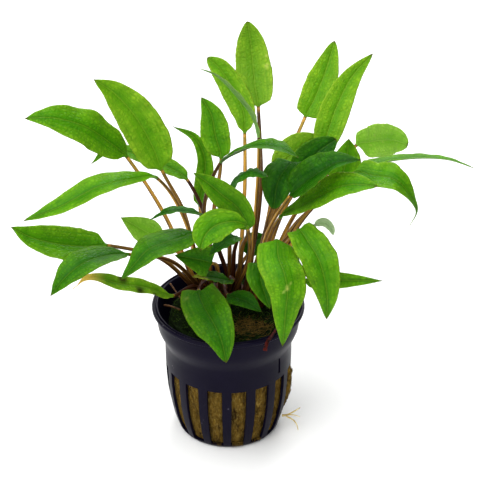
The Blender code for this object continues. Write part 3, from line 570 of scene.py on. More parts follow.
def blade_ring(habits, seed, t, centre, heading, up):
    """The points round a blade, with how far across each is, on which side, and its x in mm."""
    right = heading.cross(up)
    half = half_width(t, habits)
    fade = max(1 - t / LOBE_REACH, 0.0)
    opened = smooth_step(t, 0.0, 0.07)
    slender = 1 - 0.6 * t
    rib = NECK_RADIUS * (1.15 - 0.95 * t)
    ring = []
    for s, side in AROUND:
        way = 1 if s > 0 else -1
        # The margin is a little ragged
        ragged = 0.05 * noise.noise(Vector((seed, 7.0 * t, 3.0 * way)))
        ragged += 0.025 * noise.noise(Vector((seed, 60.0 * t, 3.0 * way)))
        x = s * half * (1 + ragged * s * s)
        # The halves rise from the rib, swing at the margin and swell between the veins
        swing = math.sin(habits["waves"] * 2 * math.pi * t + seed + 1.3 * way)
        swing += 0.6 * noise.noise(Vector((seed + 9.0, 5.0 * t, 2.0 * way)))
        height = habits["fold"][int(s > 0)] * abs(x)
        height += habits["wave"][int(s > 0)] * abs(s) ** 1.6 * half * swing
        height += 0.09 * abs(s) * math.sin(2 * math.pi * (7 * t - 1.4 * abs(s)) + seed)
        height += side * 0.5 * LAMINA * math.sqrt(max(1 - s ** 4, 0.0)) * slender
        if side > 0:
            height -= GROOVE * slender * math.exp(-(x / 0.45) ** 2)
        else:
            height -= rib * math.exp(-(x / (0.75 * rib)) ** 2)
        # At the neck the round stalk opens into the flat blade
        angle = math.pi * 0.5 * (1 - s)
        round_point = Vector((math.cos(angle), side * math.sin(angle))) * NECK_RADIUS
        flat = round_point.lerp(Vector((x, height)), opened)
        sweep = habits["lobe"] * habits["width"] * s * s * fade * fade
        point = centre + right * flat.x + up * flat.y - heading * sweep * opened
        ring.append((point, s, side, x))
    return ring


def stalk_ring(radius, centre, heading, up):
    """The points round a stalk, in the same order as those round a blade."""
    right = heading.cross(up)
    ring = []
    for s, side in AROUND:
        angle = math.pi * 0.5 * (1 - s)
        groove = 0.12 * math.exp(-(s / 0.35) ** 2) if side > 0 else 0.0
        point = centre + right * math.cos(angle) * radius
        point += up * (side * math.sin(angle) - groove) * radius
        ring.append((point, s, side, 0.0))
    return ring


def mark_strengths(habits, x, t, length):
    """How pale a fleck and how dark a patch there is at a place on the blade."""
    pale = dark = 0.0
    for along, across, radius, strength in habits["marks"]:
        off_x = x - across * half_width(along, habits)
        off = math.hypot(off_x, (t - along) * length) / radius
        fleck = strength * (1 - smooth_step(off, 0.2, 1.0))
        pale = max(pale, fleck)
        dark = max(dark, -fleck)
    return pale, dark, 0.0


def leaf_rings(habits, seed):
    """The rings of the stalk and then the blade, each with its share of the way along."""
    foot = Vector((*habits["foot"], FOOT_Z))
    neck = Vector(habits["neck"])
    rise = neck - foot
    half_way = foot + Vector((rise.x * 0.4, rise.y * 0.4, rise.z * 0.6))
    if habits["knee"]:
        half_way = Vector(habits["knee"])
    points = [foot, half_way, neck] + [Vector(mid) for mid in habits["mids"]]
    points.append(Vector(habits["tip"]))
    directions = directions_along(points)
    face_start = Vector(habits["face"]).normalized()
    face_end = Vector(habits["tip_face"] or habits["face"]).normalized()

    # The stalk is worked out from the neck down, so that it doesn't twist
    stalk = []
    up = face_start
    for row in reversed(range(STALK_ROWS)):
        step = row / STALK_ROWS
        span = 0 if step < 0.5 else 1
        centre, heading = path_point(points, directions, span, 2 * step - span)
        if row == 0:
            centre = centre - heading * FOOT_DEPTH
        up = square_to(heading, up)
        widening = 0.35 * max(1 - step / 0.12, 0.0) ** 2
        radius = FOOT_RADIUS * (1 - step) + NECK_RADIUS * step + widening
        radius *= 1 + 0.05 * noise.noise(Vector((seed, 9 * step, 0.0)))
        stalk.append((stalk_ring(radius, centre, heading, up), step))

    rings = stalk[::-1]
    blade_spans = len(habits["mids"]) + 1
    for t in BLADE_STEPS:
        travel = t * blade_spans
        span = min(int(travel), blade_spans - 1)
        centre, heading = path_point(points, directions, 2 + span, travel - span)
        up = square_to(heading, face_start.lerp(face_end, t))
        rings.append((blade_ring(habits, seed, t, centre, heading, up), t))
    length = sum((points[i + 1] - points[i]).length for i in range(2, len(points) - 1))
    return rings, length


print("leaf_01 is", round(2 * half_width(0.4, LEAVES["leaf_01"]), 1), "mm wide near its middle")

# %% Grow the leaves


def build_leaf(name, habits):
    """One leaf, grown as one piece from its foot in the rootstock to its tip."""
    seed = 1.7 * int(name[-2:])
    rings, length = leaf_rings(habits, seed)
    places, shares, spots, flecks = [], [], [], []
    # Each leaf's place in the patterns is shifted by its seed, so that no two are alike
    shift = seed * PATTERN_SHIFT
    for row, (ring, step) in enumerate(rings):
        for point, s, side, x in ring:
            places.append(point)
            if row < STALK_ROWS:
                shares.append((s * side, step, habits["ruddy"]))
                spots.append((s, step * STALK_PATTERN, shift))
                flecks.append((0.0, 0.0, 0.0))
            else:
                shares.append((s, step, 0.0 if side > 0 else 1.0))
                spots.append((x, step * length, shift))
                flecks.append(mark_strengths(habits, x, step, length))
    faces = tube_faces(0, len(AROUND), len(rings))
    tone = habits["tone"]
    piece = add_piece(name + "_grown", places, faces, [STALK, BLADES[tone]], [name])
    for kept, values in (("leaf_share", shares), ("leaf_place", spots), ("leaf_mark", flecks)):
        attribute = piece.data.attributes.new(kept, "FLOAT_VECTOR", "POINT")
        attribute.data.foreach_set("vector", np.array(values, dtype=np.float32).ravel())
    for polygon in piece.data.polygons:
        polygon.material_index = 0 if polygon.index < len(AROUND) * STALK_ROWS else 1
    return piece


grown = [build_leaf(name, habits) for name, habits in LEAVES.items()]
print("leaf faces:", sum(len(piece.data.polygons) for piece in grown))

# %% [markdown]
# ## The pot's plastic
# The pot is black polypropylene, injection moulded in a polished mould. That gives the eye a
# soft satin gloss with a cool cast, faint scuffs, and a few dried water spots.

# %% Pot plastic


def pot_material():
    """Polypropylene, injection moulded: satin, cool black, lightly scuffed by handling."""
    made, tree = new_material("moulded polypropylene")
    place = add_node(tree, "TexCoord").outputs["Object"]
    cloud = add_node(tree, "TexNoise", {
        "Vector": place, "Scale": 90.0, "Detail": 5.0, "Roughness": 0.6})
    base = add_node(tree, "MixRGB", {"Fac": cloud, "Color1": "#0a0716", "Color2": "#110e20"})
    # Dried water spots, about 0.5 mm across, in groups
    spot = add_node(tree, "TexVoronoi", {"Vector": place, "Scale": 420.0})
    chosen = add_node(tree, "TexNoise", {"Vector": place, "Scale": 70.0})
    near = add_node(tree, "MapRange", {
        "Value": spot, "From Min": 0.05, "From Max": 0.15, "To Min": 0.5, "To Max": 0.0})
    rare = add_node(tree, "MapRange", {"Value": chosen, "From Min": 0.53, "From Max": 0.62})
    spots = add_node(tree, "Math", {0: near, 1: rare}, operation="MULTIPLY")
    colour = add_node(tree, "MixRGB", {"Fac": spots, "Color1": base, "Color2": "#75727e"})
    rough = add_node(tree, "MapRange", {
        "Value": cloud, "From Min": 0.3, "From Max": 0.7, "To Min": 0.3, "To Max": 0.42})
    # Mould grain of about 1 mm
    grain = add_node(tree, "TexNoise", {"Vector": place, "Scale": 900.0, "Detail": 2.0})
    bump = add_node(tree, "Bump", {"Height": grain, "Strength": 0.25, "Distance": 0.05 * MM})
    skin = add_node(tree, "BsdfPrincipled", {
        "Base Color": colour, "Roughness": rough, "IOR": 1.49, "Specular IOR Level": 0.05,
        "Normal": bump})
    add_node(tree, "OutputMaterial", {"Surface": skin})
    return made


POT_PLASTIC = pot_material()
print("pot material:", POT_PLASTIC.name)

# %% [markdown]
# ## The pot
# A turned profile makes the pot: a flat foot, a wall that widens upwards, a collar and a
# lip with a fine step. Its points are set in columns, so that the sixteen slots are simply
# left open between their edges. Three narrow slits above them are cut with a Boolean.

# %% Profile of the pot
WALL = 1.0
WALL_TOP = 37.0
SLOT_COUNT = 16
SLOT_PITCH = 360.0 / SLOT_COUNT
SLOT_ANGLE = 14.0
FIRST_SLOT_ANGLE = 10.0
SLOT_BOTTOM = 1.2
SLOT_TOP = 28.0
SLOT_STEPS = 8
RIB_STEPS = 5
# Each place of a profile is a radius and a height in mm
OUTER_PROFILE = (
    (17.8, 0.0), (18.4, 0.25), (18.7, 0.7), (19.0, SLOT_BOTTOM), (19.5, 2.6), (20.3, 5.0),
    (21.0, 7.5), (21.9, 12.0), (22.6, 16.5), (23.05, 22.0), (23.3, SLOT_TOP), (23.35, 30.0),
    (23.38, 34.0), (23.4, WALL_TOP), (23.7, 38.2), (24.4, 39.8), (25.2, 41.6), (25.8, 43.2),
    (26.1, 45.0), (26.2, 47.0), (26.2, 49.4), (26.3, 49.9), (26.8, 50.2), (27.6, 50.35),
    (27.95, 50.7), (28.0, 51.2), (27.9, 51.7), (27.6, 52.0))
LIP_STEP = ((27.2, 52.0), (27.05, 51.6), (26.75, 51.5), (26.6, 51.85), (26.3, 52.0), (25.95, 51.9))
INNER_PROFILE = ((25.7, 51.4), (25.2, 48.5), (24.9, 45.5), (24.4, 43.0), (23.4, 40.4),
                 (22.6, 38.2), (22.4, WALL_TOP), (22.38, 34.0), (22.35, 30.0))
SLOT_ROWS = [(r, z) for r, z in OUTER_PROFILE if SLOT_BOTTOM <= z <= SLOT_TOP]
INNER_SLOT_ROWS = [(r - WALL, z) for r, z in reversed(SLOT_ROWS)]
PROFILE = [*OUTER_PROFILE, *LIP_STEP, *INNER_PROFILE, *INNER_SLOT_ROWS]
# The rows of the slots' lower and upper edges, outside and inside
SILL = PROFILE.index(SLOT_ROWS[0])
LINTEL = PROFILE.index(SLOT_ROWS[-1])
INNER_LINTEL = len(PROFILE) - len(INNER_SLOT_ROWS)
INNER_SILL = len(PROFILE) - 1


def pot_columns():
    """The angles of the columns, and whether each starts an open stretch."""
    columns = []
    rib = SLOT_PITCH - SLOT_ANGLE
    for i in range(SLOT_COUNT):
        start = FIRST_SLOT_ANGLE + i * SLOT_PITCH - SLOT_ANGLE / 2
        for step in range(SLOT_STEPS):
            columns.append((start + SLOT_ANGLE * step / SLOT_STEPS, True))
        for step in range(RIB_STEPS):
            columns.append((start + SLOT_ANGLE + rib * step / RIB_STEPS, False))
    return columns


COLUMNS = pot_columns()
print(len(COLUMNS), "columns round the pot, in", len(PROFILE), "rows")

# %% Build the pot


def pot_point(row, column):
    """The number of the pot's point in a row and column."""
    return row * len(COLUMNS) + column % len(COLUMNS)


def slot_edges():
    """The sides, sill and lintel of every slot, through the wall."""
    quads = []
    for i in range(0, len(COLUMNS), SLOT_STEPS + RIB_STEPS):
        for column, turned in ((i, False), (i + SLOT_STEPS, True)):
            for step in range(LINTEL - SILL):
                quad = (pot_point(SILL + step, column), pot_point(SILL + step + 1, column),
                        pot_point(INNER_SILL - 1 - step, column),
                        pot_point(INNER_SILL - step, column))
                quads.append(quad if turned else quad[::-1])
        for outer, inner, turned in ((SILL, INNER_SILL, False), (LINTEL, INNER_LINTEL, True)):
            for column in range(i, i + SLOT_STEPS):
                quad = (pot_point(outer, column), pot_point(outer, column + 1),
                        pot_point(inner, column + 1), pot_point(inner, column))
                quads.append(quad if turned else quad[::-1])
    return quads


def build_pot():
    """The pot with its slots. Its slits and rounded edges come afterwards."""
    points = [polar(radius, angle, z) for radius, z in PROFILE for angle, _ in COLUMNS]
    faces = []
    for row in range(INNER_SILL):
        open_row = SILL <= row < LINTEL or row >= INNER_LINTEL
        for i, (_, in_slot) in enumerate(COLUMNS):
            if not (in_slot and open_row):
                faces.append((pot_point(row, i), pot_point(row, i + 1),
                              pot_point(row + 1, i + 1), pot_point(row + 1, i)))
    faces.append(tuple(range(len(COLUMNS)))[::-1])
    faces.append(tuple(range(pot_point(INNER_SILL, 0), len(points))))
    faces += slot_edges()
    pot = add_piece("net_pot", points, faces, [POT_PLASTIC], ["pot"])
    # The points in the open stretches have no faces, so they go
    clean = bmesh.new()
    clean.from_mesh(pot.data)
    unused = [vert for vert in clean.verts if not vert.link_faces]
    bmesh.ops.delete(clean, geom=unused, context="VERTS")
    bmesh.ops.recalc_face_normals(clean, faces=clean.faces)
    clean.to_mesh(pot.data)
    clean.free()
    pot.data.shade_smooth()
    pot.data.set_sharp_from_angle(angle=math.radians(38.0))
    return pot


pot = build_pot()
print("pot faces:", len(pot.data.polygons))

# %% Slits and rounded edges
SLIT_ANGLES = (53.0, 173.0, -73.0)
SLIT_WIDTH = 1.0
SLIT_BOTTOM = 30.5
SLIT_RADIUS = 22.9
SLIT_DEPTH = 4.0


def slit_cutter():
    """Three thin blocks through the wall, which are cut away and never shown."""
    cutter_mesh = bmesh.new()
    for angle in SLIT_ANGLES:
        place = polar(SLIT_RADIUS, angle, (WALL_TOP + SLIT_BOTTOM) / 2)
        for vert in bmesh.ops.create_cube(cutter_mesh, size=1.0)["verts"]:
            outwards = polar(vert.co.y * SLIT_DEPTH, angle, 0.0)
            sideways = polar(vert.co.x * SLIT_WIDTH, angle + 90.0, 0.0)
            upwards = Vector((0.0, 0.0, vert.co.z * (WALL_TOP - SLIT_BOTTOM)))
            vert.co = (place + outwards + sideways + upwards) * MM
    bmesh.ops.recalc_face_normals(cutter_mesh, faces=cutter_mesh.faces)
    mesh = bpy.data.meshes.new("slit_blocks")
    cutter_mesh.to_mesh(mesh)
    cutter_mesh.free()
    return bpy.data.objects.new("slit_blocks", mesh)


def apply_modifiers(piece):
    """Makes what the modifiers give into the piece's own mesh."""
    depsgraph = bpy.context.evaluated_depsgraph_get()
    final = bpy.data.meshes.new_from_object(piece.evaluated_get(depsgraph))
    piece.modifiers.clear()
    piece.data = final


cutter = slit_cutter()
scene.collection.objects.link(cutter)
rounded = pot.modifiers.new("rounded edges", "BEVEL")
rounded.width = 0.22 * MM
rounded.segments = 2
rounded.limit_method = "ANGLE"
rounded.angle_limit = math.radians(50.0)
slits = pot.modifiers.new("slits", "BOOLEAN")
slits.operation = "DIFFERENCE"
slits.object = cutter
apply_modifiers(pot)
bpy.data.objects.remove(cutter, do_unlink=True)
print("pot faces with slits:", len(pot.data.polygons))

# %% [markdown]
# ## Fibres
# Rock wool and moss are fibres, and at this size each shows as a short bent thread. A
# thread is a three sided tube. Thousands are added to one mesh with a seeded random
# source, so that each run grows the same ones.

# %% Threads
THREAD_SIDES = 3


def add_thread(points, faces, path, thick, thin):
    """Adds a round tube that gets thinner along a path, and counts its faces."""
    first = len(points)
    for i, (here, heading) in enumerate(zip(path, directions_along(path))):
        across = heading.orthogonal().normalized()
        other = heading.cross(across)
        share = i / (len(path) - 1)
        radius = 0.5 * (thick * (1 - share) + thin * share)
        for side in range(THREAD_SIDES):
            angle = 2 * math.pi * side / THREAD_SIDES
            offset = across * math.cos(angle) + other * math.sin(angle)
            points.append(here + offset * radius)
    made = tube_faces(first, THREAD_SIDES, len(path))
    faces += made
    return len(made)


straight = [Vector((0.0, 0.0, 1.0 * step)) for step in range(5)]
print("a thread of", len(straight), "points has", add_thread([], [], straight, 0.2, 0.1), "faces")

# %% Fibre material


def fibre_material(name, dark, middle, light, scale_mm, upright=1.0):
    """Matted fibres. They scatter the light, so the eye sees no gloss, only depth."""
    made, tree = new_material(name)
    place = add_node(tree, "VectorMath", {
        0: add_node(tree, "TexCoord").outputs["Object"], 1: (1.0, 1.0, upright)},
        operation="MULTIPLY")
    cloud = add_node(tree, "TexNoise", {
        "Vector": place, "Scale": 1 / (scale_mm * MM), "Detail": 6.0, "Roughness": 0.65})
    fine = add_node(tree, "TexNoise", {
        "Vector": place, "Scale": 3.5 / (scale_mm * MM), "Detail": 4.0, "Roughness": 0.7})
    colour = tint(tree, dark, middle, cloud, 0.36, 0.52)
    colour = tint(tree, colour, light, fine, 0.5, 0.72, 0.0, 0.8)
    bump = add_node(tree, "Bump", {"Height": fine, "Strength": 0.8, "Distance": 0.5 * MM})
    skin = add_node(tree, "BsdfPrincipled", {
        "Base Color": colour, "Roughness": 0.95, "Specular IOR Level": 0.08, "Normal": bump})
    add_node(tree, "OutputMaterial", {"Surface": skin})
    return made


# Used wool looks dusty brown, with upright streaks as it was spun. Wet moss is nearly black, which also
# paints the shade in its hollows and in the gap by the collar, a lighter green on some of its threads
# paints glints, and its dry threads are the brown of straw
WOOL = fibre_material("spun rock wool", "#2c1a06", "#745a20", "#b09854", 2.0, upright=0.3)
WET_MOSS_AND_SHADE = fibre_material("wet moss with painted shade", "#060a03", "#14200a", "#33481a", 1.2)
MOSS_GLINT = fibre_material("moss thread with painted glint", "#22380e", "#46641c", "#7c9a3c", 1.0)
DRY_MOSS = fibre_material("dry moss thread", "#34240c", "#846630", "#c4a860", 1.5)
print("fibre materials:", [each.name for each in (WOOL, WET_MOSS_AND_SHADE, MOSS_GLINT, DRY_MOSS)])

# %% [markdown]
# ## Rock wool
# The plug of wool fills the pot and swells a little into each slot. Its surface is a turned
# grid that noise pushes in and out, with fibres lying on it, mostly upright, as they were
# spun. At the right side a loose tuft leans out of its slot.

# %% Build the wool
WOOL_ROWS = 60
WOOL_COLUMNS = 288
WOOL_GAP = 0.4
WOOL_FIBRES = 5200
HANGING_ENDS = 90
FOOT_RING = 18.6
SLOT_RADIUS = 22.0
LOOSE_ANGLE = 77.5
WOOL_BOTTOM, WOOL_TOP = (corner.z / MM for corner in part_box("rock_wool"))
INSIDE = [(r - WALL - WOOL_GAP, z) for r, z in OUTER_PROFILE if SLOT_BOTTOM <= z <= WALL_TOP]
wool_random = random.Random(11)


def slot_share(angle):
    """How near the middle of a slot an angle is: 1 in the middle, 0 at its edge and beyond."""
    off = (angle - FIRST_SLOT_ANGLE + SLOT_PITCH / 2) % SLOT_PITCH - SLOT_PITCH / 2
    return max(1 - (2 * off / SLOT_ANGLE) ** 2, 0.0)


def wool_radius(angle, z):
    """The wool's surface at an angle and height."""
    radii, heights = zip(*INSIDE)
    radius = float(np.interp(z, heights, radii))
    # It swells into each slot, and lies back from the wall at that height
    low_down = smooth_step(z, WOOL_BOTTOM, 2.6) * (1 - smooth_step(z, 26.5, SLOT_TOP))
    bulge = 0.75 * slot_share(angle) ** 0.6 * low_down
    # The loose tuft leans out further
    if abs((angle - LOOSE_ANGLE + 180) % 360 - 180) < SLOT_ANGLE / 2:
        leaning = smooth_step(z, 3.0, 16.0) * (1 - smooth_step(z, 26.0, SLOT_TOP))
        bulge += 2.0 * slot_share(angle) * leaning
    rough = noise.noise(polar(radius, angle, z) * 0.55) * 0.3
    rough += noise.noise(polar(radius, angle, z) * 1.9) * 0.18
    shoulder = smooth_step(z, WOOL_TOP - 2.5, WOOL_TOP)
    return radius + bulge + rough * 0.8 - 0.55 * low_down - 2.0 * shoulder


def lying_fibre():
    """The path of a fibre that lies on the wool in some slot, mostly upright."""
    middle = FIRST_SLOT_ANGLE + wool_random.randrange(SLOT_COUNT) * SLOT_PITCH
    angle = middle + wool_random.uniform(-0.46, 0.46) * SLOT_ANGLE
    z = wool_random.uniform(1.8, 27.5)
    lean = wool_random.gauss(0.0, 0.6)
    length = wool_random.uniform(1.2, 4.0)
    reach = 0.48 * SLOT_ANGLE
    path = []
    for step in range(5):
        share = step / 4 - 0.5
        here = min(max(z + share * length * math.cos(lean), 1.5), 27.6)
        turn = angle + math.degrees(share * length * math.sin(lean) / SLOT_RADIUS)
        turn = min(max(turn, middle - reach), middle + reach)
        lift = 0.05 + 0.45 * wool_random.random() * (1 - 4 * share * share)
        path.append(polar(wool_radius(turn, here) + lift, turn, here))
    return path


def hanging_end():
    """The path of a fibre that hangs over the foot ring, in the three slots at the front."""
    middle = FIRST_SLOT_ANGLE + wool_random.choice((-1, 0, 0, 1)) * SLOT_PITCH
    angle = middle + wool_random.uniform(-0.45, 0.45) * SLOT_ANGLE
    drop = wool_random.uniform(0.4, 1.6)
    path = []
    for step in range(4):
        share = step / 3
        radius = FOOT_RING + 0.5 * math.sin(2.2 * share) + 0.5 * share * drop
        path.append(polar(radius, angle + wool_random.uniform(-0.6, 0.6), 2.4 - drop * share))
    return path


def build_wool():
    """The plug with its fibres. Above the straight wall its own surface gets the near-black moss
    material: moss lies there, and its colour also paints the deep shade in the gap by the collar.
    """
    points = []
    for row in range(WOOL_ROWS):
        z = WOOL_BOTTOM + (WOOL_TOP - WOOL_BOTTOM) * row / (WOOL_ROWS - 1)
        for column in range(WOOL_COLUMNS):
            angle = 360.0 * column / WOOL_COLUMNS
            points.append(polar(wool_radius(angle, z), angle, z))
    faces = tube_faces(0, WOOL_COLUMNS, WOOL_ROWS)
    surface_faces = len(faces)
    for _ in range(WOOL_FIBRES):
        add_thread(points, faces, lying_fibre(), thick=0.13, thin=0.07)
    for _ in range(HANGING_ENDS):
        add_thread(points, faces, hanging_end(), thick=0.14, thin=0.06)
    plug = add_piece("wool_plug", points, faces, [WOOL, WET_MOSS_AND_SHADE], ["rock_wool"])
    # Above the straight wall the wool takes the near-black moss material, which also paints the shade
    # in the gap by the collar
    for polygon in plug.data.polygons[:surface_faces]:
        polygon.material_index = int(polygon.center.z > WALL_TOP * MM)
    return plug


wool = build_wool()
print("wool faces:", len(wool.data.polygons))

# %% [markdown]
# ## Moss
# Moss covers the wool between the rootstocks: nearly black and wet at the left, a colour that also
# paints the shade in its hollows, with lighter green threads in it that paint its glints, and dry
# yellow-brown threads in front. The mound is a lumpy grid, and short threads grow out of it in every
# direction.

# %% Build the moss
MOSS_RADIUS = 21.4
MOSS_TOP = 50.0
MOSS_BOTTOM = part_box("moss_mat")[0].z / MM
MOSS_RINGS = 22
MOSS_COLUMNS = 120
MOSS_THREADS = 5200
GLINT_SHARE = 0.22
moss_random = random.Random(23)


def moss_height(x, y):
    """The mound's surface over a place."""
    rim = smooth_step(math.hypot(x, y) / MOSS_RADIUS, 0.8, 1.0)
    lumps = 0.9 * noise.noise(Vector((x, y, 3.0)) * 0.16)
    lumps += 0.5 * noise.noise(Vector((x, y, 8.0)) * 0.45)
    return MOSS_TOP + lumps - 2.2 * rim


def dryness(x, y):
    """How dry the moss is over a place: it is driest in front, right of the middle."""
    patch = math.exp(-((x - 10.0) ** 2 + (y + 13.0) ** 2) / 32.0)
    patch += 0.45 * math.exp(-((x - 1.5) ** 2 + (y + 15.0) ** 2) / 20.0)
    return patch + 0.3 * noise.noise(Vector((x, y, 1.0)) * 0.3)


def moss_thread():
    """The path of a thread, and which it is: 0 for a near-black wet thread, 1 for dry, 2 for a lighter
    green thread that paints a glint.
    """
    reach = MOSS_RADIUS * math.sqrt(moss_random.random()) * 0.98
    spot = polar(reach, moss_random.uniform(0, 360), 0.0)
    dry = dryness(spot.x, spot.y) > moss_random.uniform(0.15, 0.6)
    # A share of the wet threads gets a lighter green, which paints the moss's glints
    glinting = not dry and moss_random.random() < GLINT_SHARE
    turn = moss_random.uniform(0, 2 * math.pi)
    length = moss_random.uniform(1.5, 4.5) if dry else moss_random.uniform(0.8, 2.2)
    rise = moss_random.uniform(0.2, 0.7) if dry else moss_random.uniform(0.4, 1.1)
    path = []
    for step in range(4):
        share = step / 3
        bend = turn + 0.9 * share * math.sin(7.0 * turn)
        x = spot.x + math.cos(bend) * length * share
        y = spot.y + math.sin(bend) * length * share
        z = moss_height(spot.x, spot.y) - 0.2 + rise * math.sin(2.2 * share)
        path.append(Vector((x, y, z)))
    return path, 1 if dry else 2 * glinting


def build_moss():
    """The mound, and the threads on it that end inside its rim."""
    points = []
    for ring in range(MOSS_RINGS):
        reach = MOSS_RADIUS * (1 - (ring / MOSS_RINGS) ** 1.4)
        for column in range(MOSS_COLUMNS):
            place = polar(reach, 360.0 * column / MOSS_COLUMNS, 0.0)
            place.z = moss_height(place.x, place.y) if ring else MOSS_BOTTOM
            points.append(place)
    faces = tube_faces(0, MOSS_COLUMNS, MOSS_RINGS)
    kinds = [0] * len(faces)
    for _ in range(MOSS_THREADS):
        path, kind = moss_thread()
        if math.hypot(path[-1].x, path[-1].y) < MOSS_RADIUS:
            thick = 0.2 if kind == 1 else 0.26
            kinds += [kind] * add_thread(points, faces, path, thick, thin=0.08)
    moss = add_piece("moss_cushion", points, faces, [WET_MOSS_AND_SHADE, DRY_MOSS, MOSS_GLINT], ["moss_mat"])
    for polygon, kind in zip(moss.data.polygons, kinds):
        polygon.material_index = kind
    return moss


moss = build_moss()
print("moss faces:", len(moss.data.polygons))

# %% [markdown]
# ## Rootstocks, roots and dead bits
# Each rootstock is a short thick stem with rings where old leaves stood. Three fine roots
# reach out of a slot, a scrap of dead leaf hangs over the rim, and two dead stalks lie
# at the left. All are turned or drawn out along a smooth path.

# %% Bark, root and dead leaf


def mottled_material(name, dark, light, scale_mm, roughness, ior):
    """Plant skin with two tones that run into each other in clouds of a given size."""
    made, tree = new_material(name)
    cloud = add_node(tree, "TexNoise", {
        "Vector": add_node(tree, "TexCoord").outputs["Object"], "Scale": 1 / (scale_mm * MM),
        "Detail": 5.0})
    colour = tint(tree, dark, light, cloud, 0.35, 0.65)
    bump = add_node(tree, "Bump", {"Height": cloud, "Strength": 0.6, "Distance": 0.2 * MM})
    skin = add_node(tree, "BsdfPrincipled", {
        "Base Color": colour, "Roughness": roughness, "IOR": ior, "Specular IOR Level": 0.2,
        "Normal": bump})
    add_node(tree, "OutputMaterial", {"Surface": skin})
    return made


# Bark looks brown and dull, root skin pale and smoother. A dead leaf dries to dark red-brown
# paper with a faint sheen, and a dead stalk to dull brown
BARK = mottled_material("scarred rootstock bark", "#241008", "#6a3a16", 1.5, 0.6, 1.45)
ROOT_SKIN = mottled_material("pale root skin", "#b89a50", "#e6d79a", 1.2, 0.5, 1.42)
DEAD_LEAF = mottled_material("dry dead leaf", "#0c0301", "#4c0c04", 1.0, 0.5, 1.3)
DEAD_STALK = mottled_material("dry dead stalk", "#3a2210", "#6e4a26", 1.2, 0.6, 1.45)
print("skins:", [each.name for each in (BARK, ROOT_SKIN, DEAD_LEAF, DEAD_STALK)])

# %% Rootstocks
CROWNS = {"left": (-9.5, 8.0), "middle": (0.5, 7.5), "right": (9.5, 1.0)}
CROWN_RADIUS = 4.8
CROWN_BOTTOM = 50.5
CROWN_RISE = CROWN_TOP + 0.9 - CROWN_BOTTOM
CROWN_RINGS = 16
CROWN_COLUMNS = 40


def build_crown(side):
    """A short rootstock with ringed sides and a domed top."""
    x, y = CROWNS[side]
    points = []
    for ring in range(CROWN_RINGS):
        share = ring / (CROWN_RINGS - 1)
        radius = CROWN_RADIUS * (0.75 + 0.32 * math.sin(1.9 * min(share * 1.5, 1.3)))
        radius *= 1 - 0.97 * smooth_step(share, 0.55, 1.0)
        radius += 0.12 * math.sin(18 * share)
        z = CROWN_BOTTOM + CROWN_RISE * math.sin(0.5 * math.pi * min(share * 1.15, 1.0))
        for column in range(CROWN_COLUMNS):
            angle = 360.0 * column / CROWN_COLUMNS
            lump = 1 + 0.12 * noise.noise(Vector((x, angle * 0.03, 5 * share)))
            points.append(polar(radius * lump, angle, z) + Vector((x, y, 0.0)))
    faces = tube_faces(0, CROWN_COLUMNS, CROWN_RINGS)
    return add_piece("rootstock_" + side, points, faces, [BARK], ["crown_" + side])


rootstocks = [build_crown(side) for side in CROWNS]
print(len(rootstocks), "rootstocks")

# %% Roots and dead bits
# Each strand: its path, how thick it is at its start and end, how flat, its skin and its slot
STRANDS = {
    "root_upper": (
        ((20.1, -6.9, 6.2), (22, -7, 6.6), (24.3, -7.3, 8.2), (26.7, -8, 10.6)),
        0.9, 0.35, 1.0, ROOT_SKIN, "root"),
    "root_middle": (
        ((22.6, -7.2, 6.7), (24.8, -8.2, 7.3), (26.7, -9, 7.0)), 0.45, 0.25, 1.0, ROOT_SKIN, "root"),
    "root_lower": (
        ((21.6, -7.6, 6.3), (24.0, -8.6, 5.6), (25.4, -9.4, 4.2), (26.1, -10, 1.8)),
        0.6, 0.3, 1.0, ROOT_SKIN, "root"),
    "dead_leaf_rim": (
        ((17.2, -19.0, 53.0), (15.5, -23.5, 52.9), (14.2, -26.2, 52.7), (13.4, -28.4, 51.6),
         (13.2, -28.8, 50.3)), 1.0, 1.5, 0.3, DEAD_LEAF, "dead_leaf"),
    "dead_stalk_left": (
        ((-23.5, -1.0, 51.6), (-21.0, -2.2, 51.9), (-17.5, -3.2, 51.0)),
        0.8, 0.6, 1.0, DEAD_STALK, "dead_leaf"),
    "dead_stalk_back": (
        ((-21.5, 11.5, 53.0), (-20, 8.5, 52.4), (-17.5, 4, 51.2)),
        0.7, 0.5, 1.0, DEAD_STALK, "dead_leaf"),
}
ROWS_A_SPAN = 10
STRAND_SIDES = 10


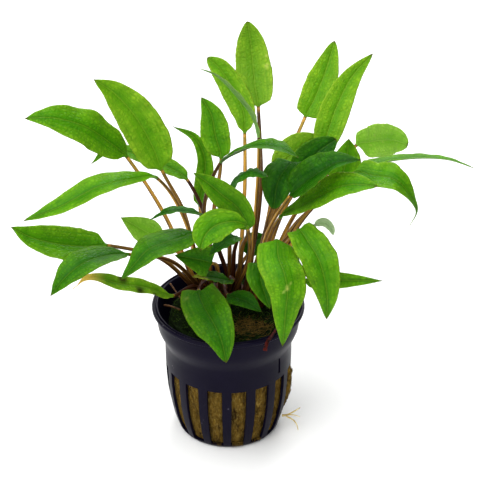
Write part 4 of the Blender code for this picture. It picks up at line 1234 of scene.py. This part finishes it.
def build_strand(name, places, thick, thin, flat, looks, slot):
    """A strand along a smooth path, round or flattened, with small bends of its own."""
    path = [Vector(place) for place in places]
    directions = directions_along(path)
    spans = len(path) - 1
    points = []
    for row in range(spans * ROWS_A_SPAN + 1):
        span = min(row // ROWS_A_SPAN, spans - 1)
        centre, heading = path_point(path, directions, span, row / ROWS_A_SPAN - span)
        up = square_to(heading, Vector((0.1, -0.3, 1.0)))
        right = heading.cross(up)
        share = row / (spans * ROWS_A_SPAN)
        wiggle = 0.12 * noise.noise(Vector((len(name), row * 0.35, 0.0)))
        centre = centre + up * wiggle + right * wiggle
        radius = 0.5 * (thick * (1 - share) + thin * share)
        for side in range(STRAND_SIDES):
            angle = 2 * math.pi * side / STRAND_SIDES
            points.append(centre + right * math.cos(angle) * radius
                          + up * math.sin(angle) * radius * flat)
    faces = tube_faces(0, STRAND_SIDES, spans * ROWS_A_SPAN + 1)
    return add_piece(name + "_grown", points, faces, [looks], [name])


strands = [build_strand(name, *habits) for name, habits in STRANDS.items()]
print(len(strands), "roots and dead bits")

# %% [markdown]
# ## The floor
# A wide pale sheet of matt paper lies just under the pot, so that the two never touch. It
# isn't part of the object.

# %% Lay the floor
FLOOR_REACH = 4.0
FLOOR_Z = -0.0001
floor_mesh = bpy.data.meshes.new("floor")
corners = [(-FLOOR_REACH, -FLOOR_REACH, 0), (FLOOR_REACH, -FLOOR_REACH, 0),
           (FLOOR_REACH, FLOOR_REACH, 0), (-FLOOR_REACH, FLOOR_REACH, 0)]
floor_mesh.from_pydata(corners, [], [(0, 1, 2, 3)])
# Matt white paper: it gives an even ground with no gloss
floor_material, floor_tree = new_material("white paper sweep")
paper = add_node(floor_tree, "BsdfPrincipled", {
    "Base Color": "#f4f4f4", "Roughness": 0.9, "Specular IOR Level": 0.1})
add_node(floor_tree, "OutputMaterial", {"Surface": paper})
floor_mesh.materials.append(floor_material)
floor = bpy.data.objects.new("floor", floor_mesh)
floor.location.z = FLOOR_Z
scene.collection.objects.link(floor)
print("floor", 2 * FLOOR_REACH, "m wide")
